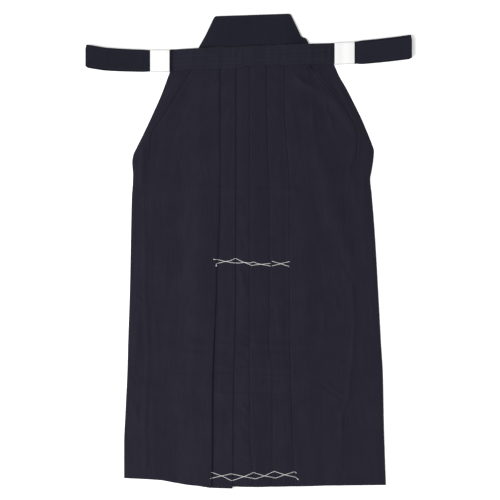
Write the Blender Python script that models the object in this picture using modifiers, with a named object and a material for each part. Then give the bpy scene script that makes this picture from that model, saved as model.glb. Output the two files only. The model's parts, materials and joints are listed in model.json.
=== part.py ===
"""Kendo hakama laid flat on its back, front side up.

Pleated divided trousers with a waistband, folded front ties in paper bands, and a stiff back board.
X runs to the wearer's left, Y up towards the waist, and Z up from the surface that it lies on.
Right and left are the wearer's, so the right leg lies at -X.
"""

import bpy
import numpy as np

MM = 0.001

# Cloth
CLOTH = 1.0 * MM              # wall of one layer
GAP = 0.3 * MM                # air between pieces and between layers that rest on each other
LAYER = CLOTH + GAP
DRAPE = 0.18                  # steepest slope of a layer where it comes down from what lies under it
FOLD_TIP = 0.7 * MM           # middle of a fold, inside its outer edge
FOLD_REACH = FOLD_TIP + LAYER / 2

# Lengths
LEG_LENGTH = 940 * MM         # from the waistband's lower edge to the hem
BAND_HEIGHT = 46 * MM
PANEL_TOP = 43 * MM           # front panels reach this far up inside the waistband
BOARD_EDGE = 18 * MM          # board's lower edge above the waistband's lower edge
BOARD_THICK = 5 * MM
BOARD_ROUND = 1.2 * MM

# Pleats
PLEAT_DEPTH = {"right_1": 50 * MM, "left_1": 41 * MM}
CENTRE_LAP = 12 * MM          # right centre pleat's edge, past the left one's that covers it
SEAM_IN = 6 * MM              # centre seam, past the left centre pleat's edge
RIGHT_CENTRE_DEPTH = 36 * MM
LEFT_CENTRE_DEPTH = 28 * MM
HEM_DROOP = 4.2 * MM          # the right leg's outer strips hang this much lower beside the centre
DROOP_LENGTH = 40 * MM

# Back ties, folded down inside the legs
TIE_WIDTH = 45 * MM
TIE_MARGIN = 2 * MM
BACK_TIE_TOP = 40 * MM
BACK_TIE_END = 720 * MM

# Gusset between the legs
GUSSET_TOP = 400 * MM
GUSSET_MID = 550 * MM
GUSSET_END = 700 * MM
GUSSET_HALF = 45 * MM

# Front ties and their paper bands
FRONT_TIE_WIDTH = 46.4 * MM
TIE_START = 1.3 * MM          # height at which a front tie leaves the waistband
PITCH_AT_BAND = LAYER
PITCH_AT_END = 1.6 * MM
TIE_SPREAD = 0.4              # share of the runs' sideways shift that they have just outside the paper
PAPER = 0.6 * MM
PAPER_NEAR = 1.5 * MM         # ends of a paper band, from the waistband's end
PAPER_FAR = 47.5 * MM
PAPER_ROUND = 1.0 * MM
PAPER_ROOM = 0.9 * MM          # beside the folded tie

# Side outlines, from the centre line, at distances below the waistband: mm
OUTLINE = (
    # down, right, left
    (0, 178.5, 193.3),
    (26, 187.8, 204.8),
    (54, 198.2, 221.2),
    (95, 216.0, 242.5),
    (125, 229.5, 257.2),
    (155, 243.8, 270.0),
    (178, 255.0, 279.2),
    (194, 262.0, 284.0),
    (210, 264.4, 282.8),
    (240, 262.5, 278.4),
    (256, 262.9, 275.3),
    (290, 265.2, 278.6),
    (375, 267.1, 285.6),
    (500, 269.5, 293.1),
    (625, 273.6, 300.0),
    (690, 275.3, 304.1),
    (795, 280.1, 306.2),
    (860, 282.9, 308.2),
    (940, 282.8, 311.0),
)

# Visible pleat edges, X at distances below the waistband: mm
PLEATS = (
    # down, right_1, right_2, left_3, left_2, left_1
    (0, -66.1, -29.6, 3.3, 42.1, 82.2),
    (100, -66.1, -29.7, 3.3, 42.3, 81.8),
    (160, -66.1, -29.8, 3.3, 43.0, 86.0),
    (275, -66.1, -30.0, 3.3, 47.5, 93.0),
    (390, -69.4, -30.2, 3.3, 47.8, 93.5),
    (460, -73.4, -30.3, 3.3, 47.9, 93.6),
    (520, -75.2, -30.5, 3.3, 47.6, 93.8),
    (630, -80.0, -32.6, 3.3, 47.2, 94.2),
    (680, -82.0, -34.4, 3.3, 54.0, 96.0),
    (745, -83.1, -35.7, 3.4, 54.1, 97.5),
    (845, -83.1, -36.3, 3.8, 54.1, 101.3),
    (880, -83.5, -36.5, 8.0, 54.1, 102.6),
    (940, -85.0, -36.7, 11.0, 54.1, 104.8),
)

# Depth of the second pleats, and lift of the right leg's first pleat edge: mm
PLEAT_SECOND = ((0, 25), (940, 32))
PLEAT_LIFT = ((0, 0), (270, 0), (390, 1.0), (520, 2.0), (840, 3.0), (940, 1.5))

# Leaf fold at each side opening: its line from the centre line, and its depth: mm
LEAF = (
    # down, right, left, depth
    (0, 129.0, 137.0, 12),
    (32, 149.0, 163.5, 12),
    (75, 176.0, 205.0, 12),
    (115, 202.0, 231.0, 10),
    (140, 218.0, 241.5, 8),
    (155, 222.0, 246.0, 7),
    (178, 223.3, 245.0, 5),
    (193, 224.2, 244.0, 4),
)

# Below the side opening the leaf fold runs out into a soft step: mm
STEP = (
    # down, right, left, width, rise
    (203, 226.0, 243.5, 3.2, 2.2),
    (216, 226.5, 242.0, 8, 1.6),
    (240, 225.0, 240.6, 12, 1.1),
    (340, 234.0, 240.2, 14, 0.9),
    (436, 237.0, 240.0, 14, 0.9),
    (520, 231.5, 242.0, 14, 0.9),
    (610, 221.5, 240.5, 14, 1.0),
    (690, 225.0, 236.0, 14, 1.2),
    (760, 229.0, 228.0, 14, 1.0),
    (840, 227.5, 215.5, 14, 1.0),
    (940, 227.5, 214.6, 14, 0.8),
)

# Waistband's edges and the hem, Y at places along X: mm
WAISTBAND = (
    # x, high, low
    (-178.5, 456.6, 408.1),
    (-112.8, 459.4, 411.5),
    (-31.0, 462.0, 413.7),
    (3.0, 463.2, 419.4),
    (136.6, 469.3, 422.6),
    (193.3, 471.6, 423.9),
)
HEM = (
    # x, y
    (-282.0, -515.3),
    (-234.0, -517.6),
    (-200.0, -519.9),
    (-166.0, -526.0),
    (-126.0, -531.4),
    (-36.0, -534.2),
    (4.0, -535.0),
    (104.8, -533.6),
    (188.7, -532.2),
    (310.5, -530.8),
)

# Back board above the waistband, from its upper right corner round to its lower left: mm
BOARD_TOP = (
    # x, y
    (-77.6, 532.7),
    (94.6, 538.4),
    (120.2, 484.6),
    (129.8, 483.4),
    (136.6, 470.0),
    (138.0, 450.0),
)
BOARD_RIGHT = (
    (-126.0, 440.0),
    (-115.5, 458.5),
    (-98.0, 489.7),
    (-87.0, 512.6),
)

# Distances below the waistband at which the front panels and the back panels have sections: mm
FRONT_STATIONS = (
    -43, -18, 0, 12, 54, 95, 125, 155, 178, 193, 203, 216, 240, 256, 290, 340, 390, 436, 520,
    610, 660, 720, 736, 840, 900, 940,
)
BACK_STATIONS = (-17.7, 60, 125, 178, 193, 210, 240, 256, 290, 375, 400, 550, 625, 700, 800, 860, 938)
SIDE_OPENING = 200 * MM

# Columns that every section crosses, from the wearer's right to the left
COLUMNS = (
    "right_edge", "right_leaf", "right_leaf_in", "right_field_1", "right_field_2", "right_field_3",
    "right_deep_1", "right_tie_out", "right_tie_in", "right_fold_1", "right_deep_2", "right_fold_2",
    "right_deep_3", "left_fold_3", "seam", "right_fold_3", "left_deep_3",
    "left_fold_2", "left_deep_2", "left_tie_in", "left_fold_1", "left_tie_out", "left_deep_1",
    "left_field_3", "left_field_2", "left_field_1", "left_leaf_in", "left_leaf", "left_edge",
)

# Layers of the two front legs, from the bottom up, and the columns that each spans
FRONT_LAYERS = (
    # layer, first column, last column
    ("underlay", "right_deep_3", "left_deep_3"),
    ("right_return_3", "right_deep_3", "right_fold_3"),
    ("right_strip_2", "right_deep_2", "right_fold_3"),
    ("right_return_2", "right_deep_2", "right_fold_2"),
    ("right_strip_1", "right_deep_1", "right_fold_2"),
    ("right_return_1", "right_deep_1", "right_fold_1"),
    ("right_leaf_strip", "right_edge", "right_leaf_in"),
    ("right_leaf_return", "right_leaf", "right_leaf_in"),
    ("right_field", "right_leaf", "right_fold_1"),
    ("left_return_3", "left_fold_3", "left_deep_3"),
    ("left_strip_2", "left_fold_3", "left_deep_2"),
    ("left_return_2", "left_fold_2", "left_deep_2"),
    ("left_strip_1", "left_fold_2", "left_deep_1"),
    ("left_return_1", "left_fold_1", "left_deep_1"),
    ("left_leaf_strip", "left_leaf_in", "left_edge"),
    ("left_leaf_return", "left_leaf_in", "left_leaf"),
    ("left_field", "left_fold_1", "left_leaf"),
)

# Way of one leg's cloth from the side edge to the centre seam, layer by layer
LEG_PATH = (
    # layer, from, to
    ("leaf_strip", "edge", "leaf_in"),
    ("leaf_return", "leaf_in", "leaf"),
    ("field", "leaf", "fold_1"),
    ("return_1", "fold_1", "deep_1"),
    ("strip_1", "deep_1", "fold_2"),
    ("return_2", "fold_2", "deep_2"),
    ("strip_2", "deep_2", "fold_3"),
    ("return_3", "fold_3", "deep_3"),
    ("underlay", "deep_3", "seam"),
)
DROOPING = ("right_field", "right_return_1", "right_strip_1")

# Folds of the front ties: distance from the waistband's end, and sideways shift: mm
TIE_FOLDS = {
    "right": (
        (192.3, -3.1), (26, 0.1), (190.6, 2.4), (22, -0.1), (191.4, -1.8),
        (20, 0.2), (189.9, 3.1), (17, -0.1), (191.0, 0.4), (12, 0.1),
    ),
    "left": (
        (177.2, -4.0), (26, 0.1), (175.6, 3.6), (22, -0.1), (176.5, -1.9),
        (20, 0.2), (174.8, 4.1), (17, 0.1), (176.2, -1.2), (12, 0.0),
    ),
}
# Middle line of the front ties: mm
TIE_LINE = {
    "right": ((-371.0, 442.6), (-347.0, 438.4), (-325.0, 435.1), (-280.0, 432.5), (-222.0, 431.0),
              (-178.5, 430.8)),
    "left": ((193.3, 448.4), (249.0, 450.1), (276.0, 452.2), (333.0, 458.3), (371.0, 463.4)),
}
WAIST_END = {"right": -178.5 * MM, "left": 193.3 * MM}
OUTWARD = {"right": -1, "left": 1}

NAVY = (0.021, 0.020, 0.031)
BOARD_NAVY = (0.017, 0.017, 0.027)
PAPER_WHITE = (0.90, 0.90, 0.89)


def read(table, at, column=1):
    """Reads a column of a table, in metres, at a place in metres along its first column."""
    rows = np.array(table, dtype=float) * MM
    return float(np.interp(at, rows[:, 0], rows[:, column]))


def back_edge(side, down):
    """Side edge of a back panel: it slants in from the side opening to the board's corner."""
    column = 1 if side == "right" else 2
    outline = read(OUTLINE, down, column)
    if down >= SIDE_OPENING:
        return outline
    corner = 126 * MM if side == "right" else 145 * MM
    share = (down + BOARD_EDGE) / (SIDE_OPENING + BOARD_EDGE)
    return corner + share * (read(OUTLINE, SIDE_OPENING, column) - corner)


def place_columns(down):
    """X of every column in the section at a distance below the waistband."""
    x = {}
    for name, column in (("right_fold_1", 1), ("right_fold_2", 2), ("left_fold_3", 3),
                         ("left_fold_2", 4), ("left_fold_1", 5)):
        x[name] = read(PLEATS, down, column)
    second = read(PLEAT_SECOND, down)
    x["right_deep_1"] = x["right_fold_1"] - PLEAT_DEPTH["right_1"]
    x["right_deep_2"] = x["right_fold_2"] - second
    x["right_fold_3"] = x["left_fold_3"] + CENTRE_LAP
    x["right_deep_3"] = x["right_fold_3"] - RIGHT_CENTRE_DEPTH
    x["seam"] = x["left_fold_3"] + SEAM_IN
    x["left_deep_3"] = x["left_fold_3"] + LEFT_CENTRE_DEPTH
    x["left_deep_2"] = x["left_fold_2"] + second
    x["left_deep_1"] = x["left_fold_1"] + PLEAT_DEPTH["left_1"]
    x["right_tie_in"] = x["right_fold_1"] - TIE_MARGIN
    x["right_tie_out"] = x["right_tie_in"] - TIE_WIDTH
    x["left_tie_out"] = x["left_deep_1"] - TIE_MARGIN
    x["left_tie_in"] = x["left_tie_out"] - TIE_WIDTH
    for side, column in (("right", 1), ("left", 2)):
        out = OUTWARD[side]
        folded = down < SIDE_OPENING
        table = LEAF if folded else STEP
        line = read(table, down, column)
        x[side + "_edge"] = out * read(OUTLINE, down, column)
        x[side + "_leaf"] = out * line
        x[side + "_leaf_in"] = out * (line - read(table, down, 3))
        for part in (1, 2, 3):
            inner = x[side + "_deep_1"]
            outer = x[side + "_leaf_in"]
            x[f"{side}_field_{part}"] = outer + (inner - outer) * part / 4
    return x


def settle(x, under):
    """Lowest heights at which a layer clears what is under it and is nowhere steeper than cloth drapes."""
    slope = DRAPE * np.abs(x[:, None] - x[None, :])
    return (under[None, :] - slope).max(axis=1)


def stack_layers(down):
    """Heights of the underside of every layer in the section at a distance below the waistband."""
    places = place_columns(down)
    x = np.array([places[name] for name in COLUMNS])
    index = {name: number for number, name in enumerate(COLUMNS)}
    top = np.zeros(len(COLUMNS))
    in_band = down <= 0
    folded = down < SIDE_OPENING
    leaves = slice(index["right_leaf"], index["left_leaf"] + 1)
    pleats = slice(index["right_deep_1"], index["left_deep_1"] + 1)
    if down <= -BOARD_EDGE:
        top[leaves] = BOARD_THICK + GAP
    else:
        top[leaves] = LAYER
        top[pleats] = 3 * LAYER
        if not in_band:
            top[index["right_edge"]] = LAYER
            top[index["left_edge"]] = LAYER
    layers = {}

    def lay(name, first, last):
        span = slice(index[first], index[last] + 1)
        height = settle(x[span], top[span])
        layers[name] = {"x": x[span], "z": height, "columns": COLUMNS[span]}
        top[span] = height + LAYER

    if down <= BACK_TIE_END:
        lay("right_back_tie", "right_tie_out", "right_tie_in")
        lay("left_back_tie", "left_tie_in", "left_tie_out")
    if in_band:
        lay("band_inner", "right_edge", "left_edge")
    for name, first, last in FRONT_LAYERS:
        side = name.split("_")[0]
        if not folded:
            if name.endswith("leaf_return"):
                continue
            if name.endswith("leaf_strip"):
                first, last = (first, "right_leaf") if side == "right" else ("left_leaf", last)
            if name.endswith("field"):
                top[index[side + "_leaf_in"]] += read(STEP, down, 4)
                first, last = ("right_leaf_in", last) if side == "right" else (first, "left_leaf_in")
        lay(name, first, last)
    if in_band:
        lay("band_outer", "right_edge", "left_edge")
    lift_pleat_edge(layers, down)
    return places, layers


def lift_pleat_edge(layers, down):
    """Opens the right leg's first pleat, whose edge stands a little off the strip below."""
    lift = read(PLEAT_LIFT, down)
    for name, share in (("right_field", 1.0), ("right_return_1", 0.6)):
        layer = layers[name]
        start = layer["x"][-1] - PLEAT_DEPTH["right_1"]
        ramp = np.clip((layer["x"] - start) / PLEAT_DEPTH["right_1"], 0, 1)
        layer["z"] = layer["z"] + share * lift * ramp


def height_at(layer, x):
    """Height of a layer at a place between its columns."""
    return float(np.interp(x, layer["x"], layer["z"]))


def panel_y(x, down, droop=False):
    """Y of a point at a distance below the waistband, which slants, as the hem does."""
    low = read(WAISTBAND, x, 2)
    if down <= 0:
        high = read(WAISTBAND, x, 1)
        return low + (high - low) * -down / BAND_HEIGHT
    hem = read(HEM, x)
    y = low + (hem - low) * down / LEG_LENGTH
    if droop:
        sideways = np.interp(x, (-126 * MM, -78 * MM), (0, HEM_DROOP))
        y -= sideways * max(0, 1 - (LEG_LENGTH - down) / DROOP_LENGTH)
    return y


def leg_section(side, down):
    """Points of a front leg's cloth in one section, from the side edge to the centre seam."""
    places, layers = stack_layers(down)
    folded = down < SIDE_OPENING
    inward = -OUTWARD[side]
    points = []
    for layer_name, first, last in LEG_PATH:
        full = layer_name if layer_name == "underlay" else f"{side}_{layer_name}"
        start = "seam" if first == "seam" else f"{side}_{first}"
        end = "seam" if last == "seam" else f"{side}_{last}"
        a = COLUMNS.index(start)
        b = COLUMNS.index(end)
        step = 1 if b > a else -1
        names = [COLUMNS[number] for number in range(a, b + step, step)]
        droop = full in DROOPING
        if not folded and layer_name == "leaf_strip":
            x = places[start]
            points.append((x, height_at(layers[full], x), droop))
            strip = layers[full]
            field = layers[f"{side}_field"]
            points += soft_step(side, places, strip, field, droop)
            continue
        if not folded and layer_name == "leaf_return":
            continue
        if not folded and layer_name == "field":
            names = names[2:]
        layer = layers[full]
        run = []
        for name in names:
            x = places[name]
            if name == end:
                x -= step * (GAP / 2 if name == "seam" else FOLD_REACH)
            elif name == start and layer_name != "leaf_strip" and (folded or layer_name != "field"):
                x += step * FOLD_REACH
            run.append((x, height_at(layer, x), droop))
        if points and (folded or layer_name != "field"):
            edge = places[start] + step * FOLD_TIP
            points.append((edge, (points[-1][1] + run[0][1]) / 2, droop))
        points += run
    assert inward * (points[-1][0] - points[0][0]) > 0
    return points


def soft_step(side, places, strip, field, droop):
    """Points of the step that the leaf fold leaves in the cloth below the side opening."""
    outer = places[side + "_leaf"]
    inner = places[side + "_leaf_in"]
    low = height_at(strip, outer)
    high = height_at(field, inner)
    points = []
    for number in range(8):
        share = number / 7
        smooth = share * share * (3 - 2 * share)
        points.append((outer + (inner - outer) * share, low + (high - low) * smooth, droop))
    return points


def make_material(name, colour, roughness):
    material = bpy.data.materials.new(name)
    material.use_nodes = True
    shader = material.node_tree.nodes["Principled BSDF"]
    shader.inputs["Base Color"].default_value = (*colour, 1)
    shader.inputs["Roughness"].default_value = roughness
    shader.inputs["Metallic"].default_value = 0.0
    return material


def add_object(name, mesh, material):
    mesh.materials.append(material)
    piece = bpy.data.objects.new(name, mesh)
    bpy.data.collections["kendo_hakama"].objects.link(piece)
    return piece


def sheet(name, rows, material, thickness=CLOTH, closed=False):
    """Wall of cloth through rows of points. Cells split the same way up the stack, so layers stay parallel."""
    width = len(rows[0])
    vertices = [point for row in rows for point in row]
    faces = []
    for r in range(len(rows) - 1):
        for c in range(width if closed else width - 1):
            n = (c + 1) % width
            a, b = r * width + c, r * width + n
            d, e = a + width, b + width
            if (vertices[b][0] >= vertices[a][0]) == (vertices[d][1] <= vertices[a][1]):
                faces += [(a, b, e), (a, e, d)]
            else:
                faces += [(a, b, d), (b, e, d)]
    mesh = bpy.data.meshes.new(name)
    mesh.from_pydata(vertices, [], faces)
    mesh.update()
    piece = add_object(name, mesh, material)
    wall = piece.modifiers.new("wall", "SOLIDIFY")
    wall.thickness = thickness
    wall.offset = 0
    wall.use_even_offset = True
    wall.use_quality_normals = True
    return piece


def make_front_leg(side, material):
    rows = []
    for station in FRONT_STATIONS:
        down = station * MM
        row = []
        for x, z, droop in leg_section(side, down):
            row.append((x, panel_y(x, down, droop), z + CLOTH / 2))
        rows.append(row)
    return sheet(f"front_leg_{side}", rows, material)


def gusset_half(down):
    """Half the gusset's width at a distance below the waistband."""
    places = (GUSSET_TOP, GUSSET_MID, GUSSET_END)
    return float(np.interp(down, places, (0, GUSSET_HALF, 0)))


def make_back_leg(side, material):
    """A back panel: flat outside, one deep pleat, and the inner layer that meets the gusset."""
    out = OUTWARD[side]
    rows = []
    for station in BACK_STATIONS:
        down = station * MM
        places = place_columns(down)
        seam = places["seam"]
        deep = places[side + "_deep_1"]
        edge = out * back_edge(side, down)
        centre_fold = seam + out * (GAP / 2)
        half = gusset_half(down)
        free = seam + out * (GAP / 2 + (half + GAP if half > 0 else 0))
        z = (CLOTH / 2, CLOTH / 2 + LAYER, CLOTH / 2 + 2 * LAYER)
        near = places["left_fold_3"] if side == "right" else seam + CENTRE_LAP
        inner = places[side + "_fold_2"]
        outer = places[side + "_fold_1"]
        path = (
            (edge, z[0]),
            (places[side + "_field_2"], z[0]),
            (deep, z[0]),
            (outer, z[0]),
            (inner, z[0]),
            (near, z[0]),
            (centre_fold + out * FOLD_REACH, z[0]),
            (centre_fold + out * FOLD_TIP, (z[0] + z[1]) / 2),
            (centre_fold + out * FOLD_REACH, z[1]),
            (near, z[1]),
            (inner, z[1]),
            (outer, z[1]),
            (deep - out * FOLD_REACH, z[1]),
            (deep - out * FOLD_TIP, (z[1] + z[2]) / 2),
            (deep - out * FOLD_REACH, z[2]),
            (outer, z[2]),
            (outer + (free - outer) * (inner - outer) / (seam - outer), z[2]),
            (outer + (free - outer) * (near - outer) / (seam - outer), z[2]),
            (free, z[2]),
        )
        rows.append([(x, panel_y(x, down), height) for x, height in path])
    return sheet(f"back_leg_{side}", rows, material)


def flat_piece(name, outline, bottom, thickness, material, rounding=0.0):
    """A flat piece from its outline, with its edge rounded where asked."""
    curve = bpy.data.curves.new(name, "CURVE")
    curve.dimensions = "2D"
    curve.fill_mode = "BOTH"
    curve.extrude = thickness / 2
    spline = curve.splines.new("POLY")
    spline.points.add(len(outline) - 1)
    for point, (x, y) in zip(spline.points, outline):
        point.co = (x, y, 0, 1)
    spline.use_cyclic_u = True
    curve.materials.append(material)
    piece = bpy.data.objects.new(name, curve)
    piece.location.z = bottom + thickness / 2
    bpy.data.collections["kendo_hakama"].objects.link(piece)
    if rounding:
        weld = piece.modifiers.new("weld", "WELD")
        weld.merge_threshold = 0.00001
        bevel = piece.modifiers.new("edge", "BEVEL")
        bevel.width = rounding
        bevel.segments = 2
    return piece


def make_gusset(material):
    """A kite between the legs, level with the back's inner layers."""
    right, left = [], []
    for down in (GUSSET_TOP, GUSSET_MID, GUSSET_END):
        seam = place_columns(down)["seam"]
        half = gusset_half(down)
        if half == 0:
            right.append((seam, panel_y(seam, down)))
        else:
            right.append((seam - half, panel_y(seam - half, down)))
            left.append((seam + half, panel_y(seam + half, down)))
    outline = [right[0], right[1], right[2], left[0]]
    return flat_piece("gusset", outline, 2 * LAYER, CLOTH, material)


def make_waistband(material):
    """The waistband folds over the front panels' top edge: inner wall, fold, outer wall."""
    rows = []
    last = PANEL_TOP + 2.5 * MM
    walk = (
        # layer, section, place
        ("band_inner", 0, 0),
        ("band_inner", -BOARD_EDGE, -BOARD_EDGE),
        ("band_inner", -PANEL_TOP, -PANEL_TOP),
        ("band_inner", -PANEL_TOP, -last),
        ("fold", -PANEL_TOP, -last - FOLD_TIP),
        ("band_outer", -PANEL_TOP, -last),
        ("band_outer", -PANEL_TOP, -PANEL_TOP),
        ("band_outer", -BOARD_EDGE, -BOARD_EDGE),
        ("band_outer", 0, 0),
    )
    for layer_name, section, place in walk:
        places, layers = stack_layers(section)
        if layer_name == "fold":
            height = (layers["band_inner"]["z"] + layers["band_outer"]["z"]) / 2
        else:
            height = layers[layer_name]["z"]
        row = []
        for name, z in zip(COLUMNS, height):
            x = places[name]
            row.append((x, panel_y(x, place), z + CLOTH / 2))
        rows.append(row)
    return sheet("front_waistband", rows, material)


def make_board(material):
    """The stiff back board, whose ears take the roots of the back ties."""
    outline = [(x * MM, y * MM) for x, y in BOARD_TOP]
    places = place_columns(-BOARD_EDGE)
    for name in ("left_deep_1", "left_fold_1", "left_fold_2", "seam", "left_fold_3", "right_fold_2",
                 "right_fold_1", "right_deep_1"):
        outline.append((places[name], panel_y(places[name], -BOARD_EDGE)))
    outline += [(x * MM, y * MM) for x, y in BOARD_RIGHT]
    return flat_piece("back_board", outline, 0, BOARD_THICK, material, BOARD_ROUND)


def make_back_tie(side, material):
    """A back tie, turned down at the board's corner to lie inside the leg."""
    rows = []
    stations = [-BACK_TIE_TOP] + [s * MM for s in FRONT_STATIONS[1:] if s * MM <= BACK_TIE_END]
    for down in stations:
        section = -PANEL_TOP if down == -BACK_TIE_TOP else down
        places, layers = stack_layers(section)
        layer = layers[f"{side}_back_tie"]
        rows.append([(x, panel_y(x, down), z + CLOTH / 2) for x, z in zip(layer["x"], layer["z"])])
    return sheet(f"back_tie_{side}", rows, material)


def tie_height(distance, run):
    """Underside of one run of a folded front tie, at a distance from the waistband's end."""
    far = TIE_FOLDS["right"][0][0] * MM
    spread = np.interp(distance, (PAPER_FAR, far), (0, 1))
    pitch = PITCH_AT_BAND + (PITCH_AT_END - PITCH_AT_BAND) * spread
    on_paper = np.interp(distance, (PAPER_FAR, PAPER_FAR + 14 * MM), (PAPER + GAP, 0))
    height = on_paper + run * pitch
    if run == 0:
        height = max(height, np.interp(distance, (0, 12 * MM), (TIE_START, 0)))
    return float(height)


def tie_run_stops(start, end):
    """Places along one run, with a stop wherever its slope changes."""
    bends = [12 * MM, PAPER_FAR, PAPER_FAR + 14 * MM, 100 * MM, 150 * MM]
    low, high = min(start, end), max(start, end)
    inside = [bend for bend in bends if low + 4 * MM < bend < high - 4 * MM]
    stops = [low] + inside + [high]
    return stops if end > start else stops[::-1]


def make_front_tie(side, material):
    """A front tie, folded to and fro in ten runs, from the waistband's end outwards."""
    out = OUTWARD[side]
    folds = [(distance * MM, shift * MM) for distance, shift in TIE_FOLDS[side]]
    path = []
    start, start_shift = GAP, 0.0
    for run, (end, end_shift) in enumerate(folds):
        sign = 1 if end > start else -1
        first = start + (sign * FOLD_REACH if run else 0)
        last = end - (sign * FOLD_REACH if run < len(folds) - 1 else 0)
        if run:
            height = (tie_height(first, run - 1) + tie_height(first, run)) / 2
            path.append((start + sign * FOLD_TIP, height, start_shift))
        inner, outer = (start_shift, end_shift) if sign > 0 else (end_shift, start_shift)
        places = (PAPER_FAR, PAPER_FAR + 14 * MM, max(first, last))
        for distance in tie_run_stops(first, last):
            share = np.interp(distance, places, (0, TIE_SPREAD, 1))
            path.append((distance, tie_height(distance, run), inner + (outer - inner) * share))
        start, start_shift = end, end_shift
    rows = []
    for across in (-0.5, 0.5):
        row = []
        for distance, height, shift in path:
            x = WAIST_END[side] + out * distance
            y = read(TIE_LINE[side], x) + shift + across * FRONT_TIE_WIDTH
            row.append((x, y, height + CLOTH / 2))
        rows.append(row)
    return sheet(f"front_tie_{side}", rows, material)


def make_paper_band(side, material):
    """A paper band round a folded front tie, close to the waistband."""
    out = OUTWARD[side]
    runs = len(TIE_FOLDS[side])
    top = PAPER + GAP + (runs - 1) * PITCH_AT_BAND + CLOTH + GAP
    half = FRONT_TIE_WIDTH / 2 + PAPER_ROOM + PAPER / 2
    low, high = PAPER / 2, top + PAPER / 2
    corners = (
        # y, z, start angle in quarter turns
        (half - PAPER_ROUND, high - PAPER_ROUND, 0),
        (-half + PAPER_ROUND, high - PAPER_ROUND, 1),
        (-half + PAPER_ROUND, low + PAPER_ROUND, 2),
        (half - PAPER_ROUND, low + PAPER_ROUND, 3),
    )
    rows = []
    for share in (0, 0.5, 1):
        distance = PAPER_NEAR + (PAPER_FAR - PAPER_NEAR) * share
        x = WAIST_END[side] + out * distance
        middle = read(TIE_LINE[side], x)
        row = []
        for y, z, quarter in corners:
            for step in range(4):
                angle = (quarter + step / 3) * np.pi / 2
                row.append((x, middle + y + PAPER_ROUND * np.cos(angle), z + PAPER_ROUND * np.sin(angle)))
        rows.append(row)
    return sheet(f"paper_band_{side}", rows, material, PAPER, closed=True)


def main():
    for old in list(bpy.data.objects):
        bpy.data.objects.remove(old, do_unlink=True)
    collection = bpy.data.collections.new("kendo_hakama")
    bpy.context.scene.collection.children.link(collection)
    collection.name = "kendo_hakama"
    cloth = make_material("navy_cloth", NAVY, 0.85)
    board = make_material("board_cloth", BOARD_NAVY, 0.80)
    paper = make_material("white_paper", PAPER_WHITE, 0.70)
    for side in ("right", "left"):
        make_front_leg(side, cloth)
        make_back_leg(side, cloth)
        make_back_tie(side, cloth)
        make_front_tie(side, cloth)
        make_paper_band(side, paper)
    make_gusset(cloth)
    make_waistband(cloth)
    make_board(board)


main()
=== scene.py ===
import json
import math

import bmesh
import bpy
import numpy as np
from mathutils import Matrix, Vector
from mathutils.bvhtree import BVHTree

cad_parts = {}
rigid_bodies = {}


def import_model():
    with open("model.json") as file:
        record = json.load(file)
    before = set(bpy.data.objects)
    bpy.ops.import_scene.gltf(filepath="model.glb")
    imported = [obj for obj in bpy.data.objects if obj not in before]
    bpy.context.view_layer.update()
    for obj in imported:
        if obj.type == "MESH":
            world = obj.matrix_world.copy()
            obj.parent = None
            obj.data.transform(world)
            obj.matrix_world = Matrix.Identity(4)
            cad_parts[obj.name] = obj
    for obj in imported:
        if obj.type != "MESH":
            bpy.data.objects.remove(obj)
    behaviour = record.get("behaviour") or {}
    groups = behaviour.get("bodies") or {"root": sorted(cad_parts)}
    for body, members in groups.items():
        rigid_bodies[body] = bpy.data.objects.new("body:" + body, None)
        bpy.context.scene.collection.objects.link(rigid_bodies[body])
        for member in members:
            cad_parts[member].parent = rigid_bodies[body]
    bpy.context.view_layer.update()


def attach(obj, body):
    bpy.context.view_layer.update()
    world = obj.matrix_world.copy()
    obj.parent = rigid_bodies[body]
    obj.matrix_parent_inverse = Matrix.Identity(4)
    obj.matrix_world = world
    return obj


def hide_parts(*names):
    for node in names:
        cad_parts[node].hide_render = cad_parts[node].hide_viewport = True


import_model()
mm = 0.001

# The photograph's frame, 500 pixels square, seen from straight above, in mm
shot = {
    "centre": (2.83, 2.27),
    "across": 1133.5,
    "distance": 6000.0,
    "surface": 6.0,             # height of the cloth that the frame is measured on
    "sensor": 36.0,
    "reach": 60000.0,
}
light = {
    "world": 0.50,
    "lamps": {
        # place and size in m, power in W
        "keyLight": ((-2.8, -0.4, 3.6), 2.4, 181.0),
        "fillLight": ((0.3, -3.0, 2.6), 2.6, 42.0),
    },
}
floorLook = {
    "half": 6.0,                # m from its middle to each side
    "colour": (0.94, 0.94, 0.94),
    "roughness": 0.9,
    "specular": 0.1,
    "glow": 0.22,
}


def addObject(name, data):
    thing = bpy.data.objects.new(name, data)
    bpy.context.scene.collection.objects.link(thing)
    return thing


def setInputs(tree, node, values):
    # A value is a number, a colour or what another node puts out
    for key, value in values.items():
        socket = node.inputs[key]
        if isinstance(value, bpy.types.NodeSocket):
            tree.links.new(value, socket)
        else:
            socket.default_value = (*value, 1) if socket.type == "RGBA" else value


def newMaterial(name):
    material = bpy.data.materials.new(name)
    material.use_nodes = True
    return material, material.node_tree, material.node_tree.nodes["Principled BSDF"]


def makeCamera():
    data = bpy.data.cameras.new("camera")
    data.sensor_width = shot["sensor"]
    data.lens = shot["sensor"] * (shot["distance"] - shot["surface"]) / shot["across"]
    data.clip_end = shot["reach"] * mm
    camera = addObject("camera", data)
    camera.location = (shot["centre"][0] * mm, shot["centre"][1] * mm, shot["distance"] * mm)
    bpy.context.scene.camera = camera


def makeLamp(name, place, size, power):
    data = bpy.data.lights.new(name, "AREA")
    data.shape = "DISK"
    data.size = size
    data.energy = power
    lamp = addObject(name, data)
    lamp.location = place
    lamp.rotation_euler = (-lamp.location).to_track_quat("-Z", "Y").to_euler()


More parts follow.
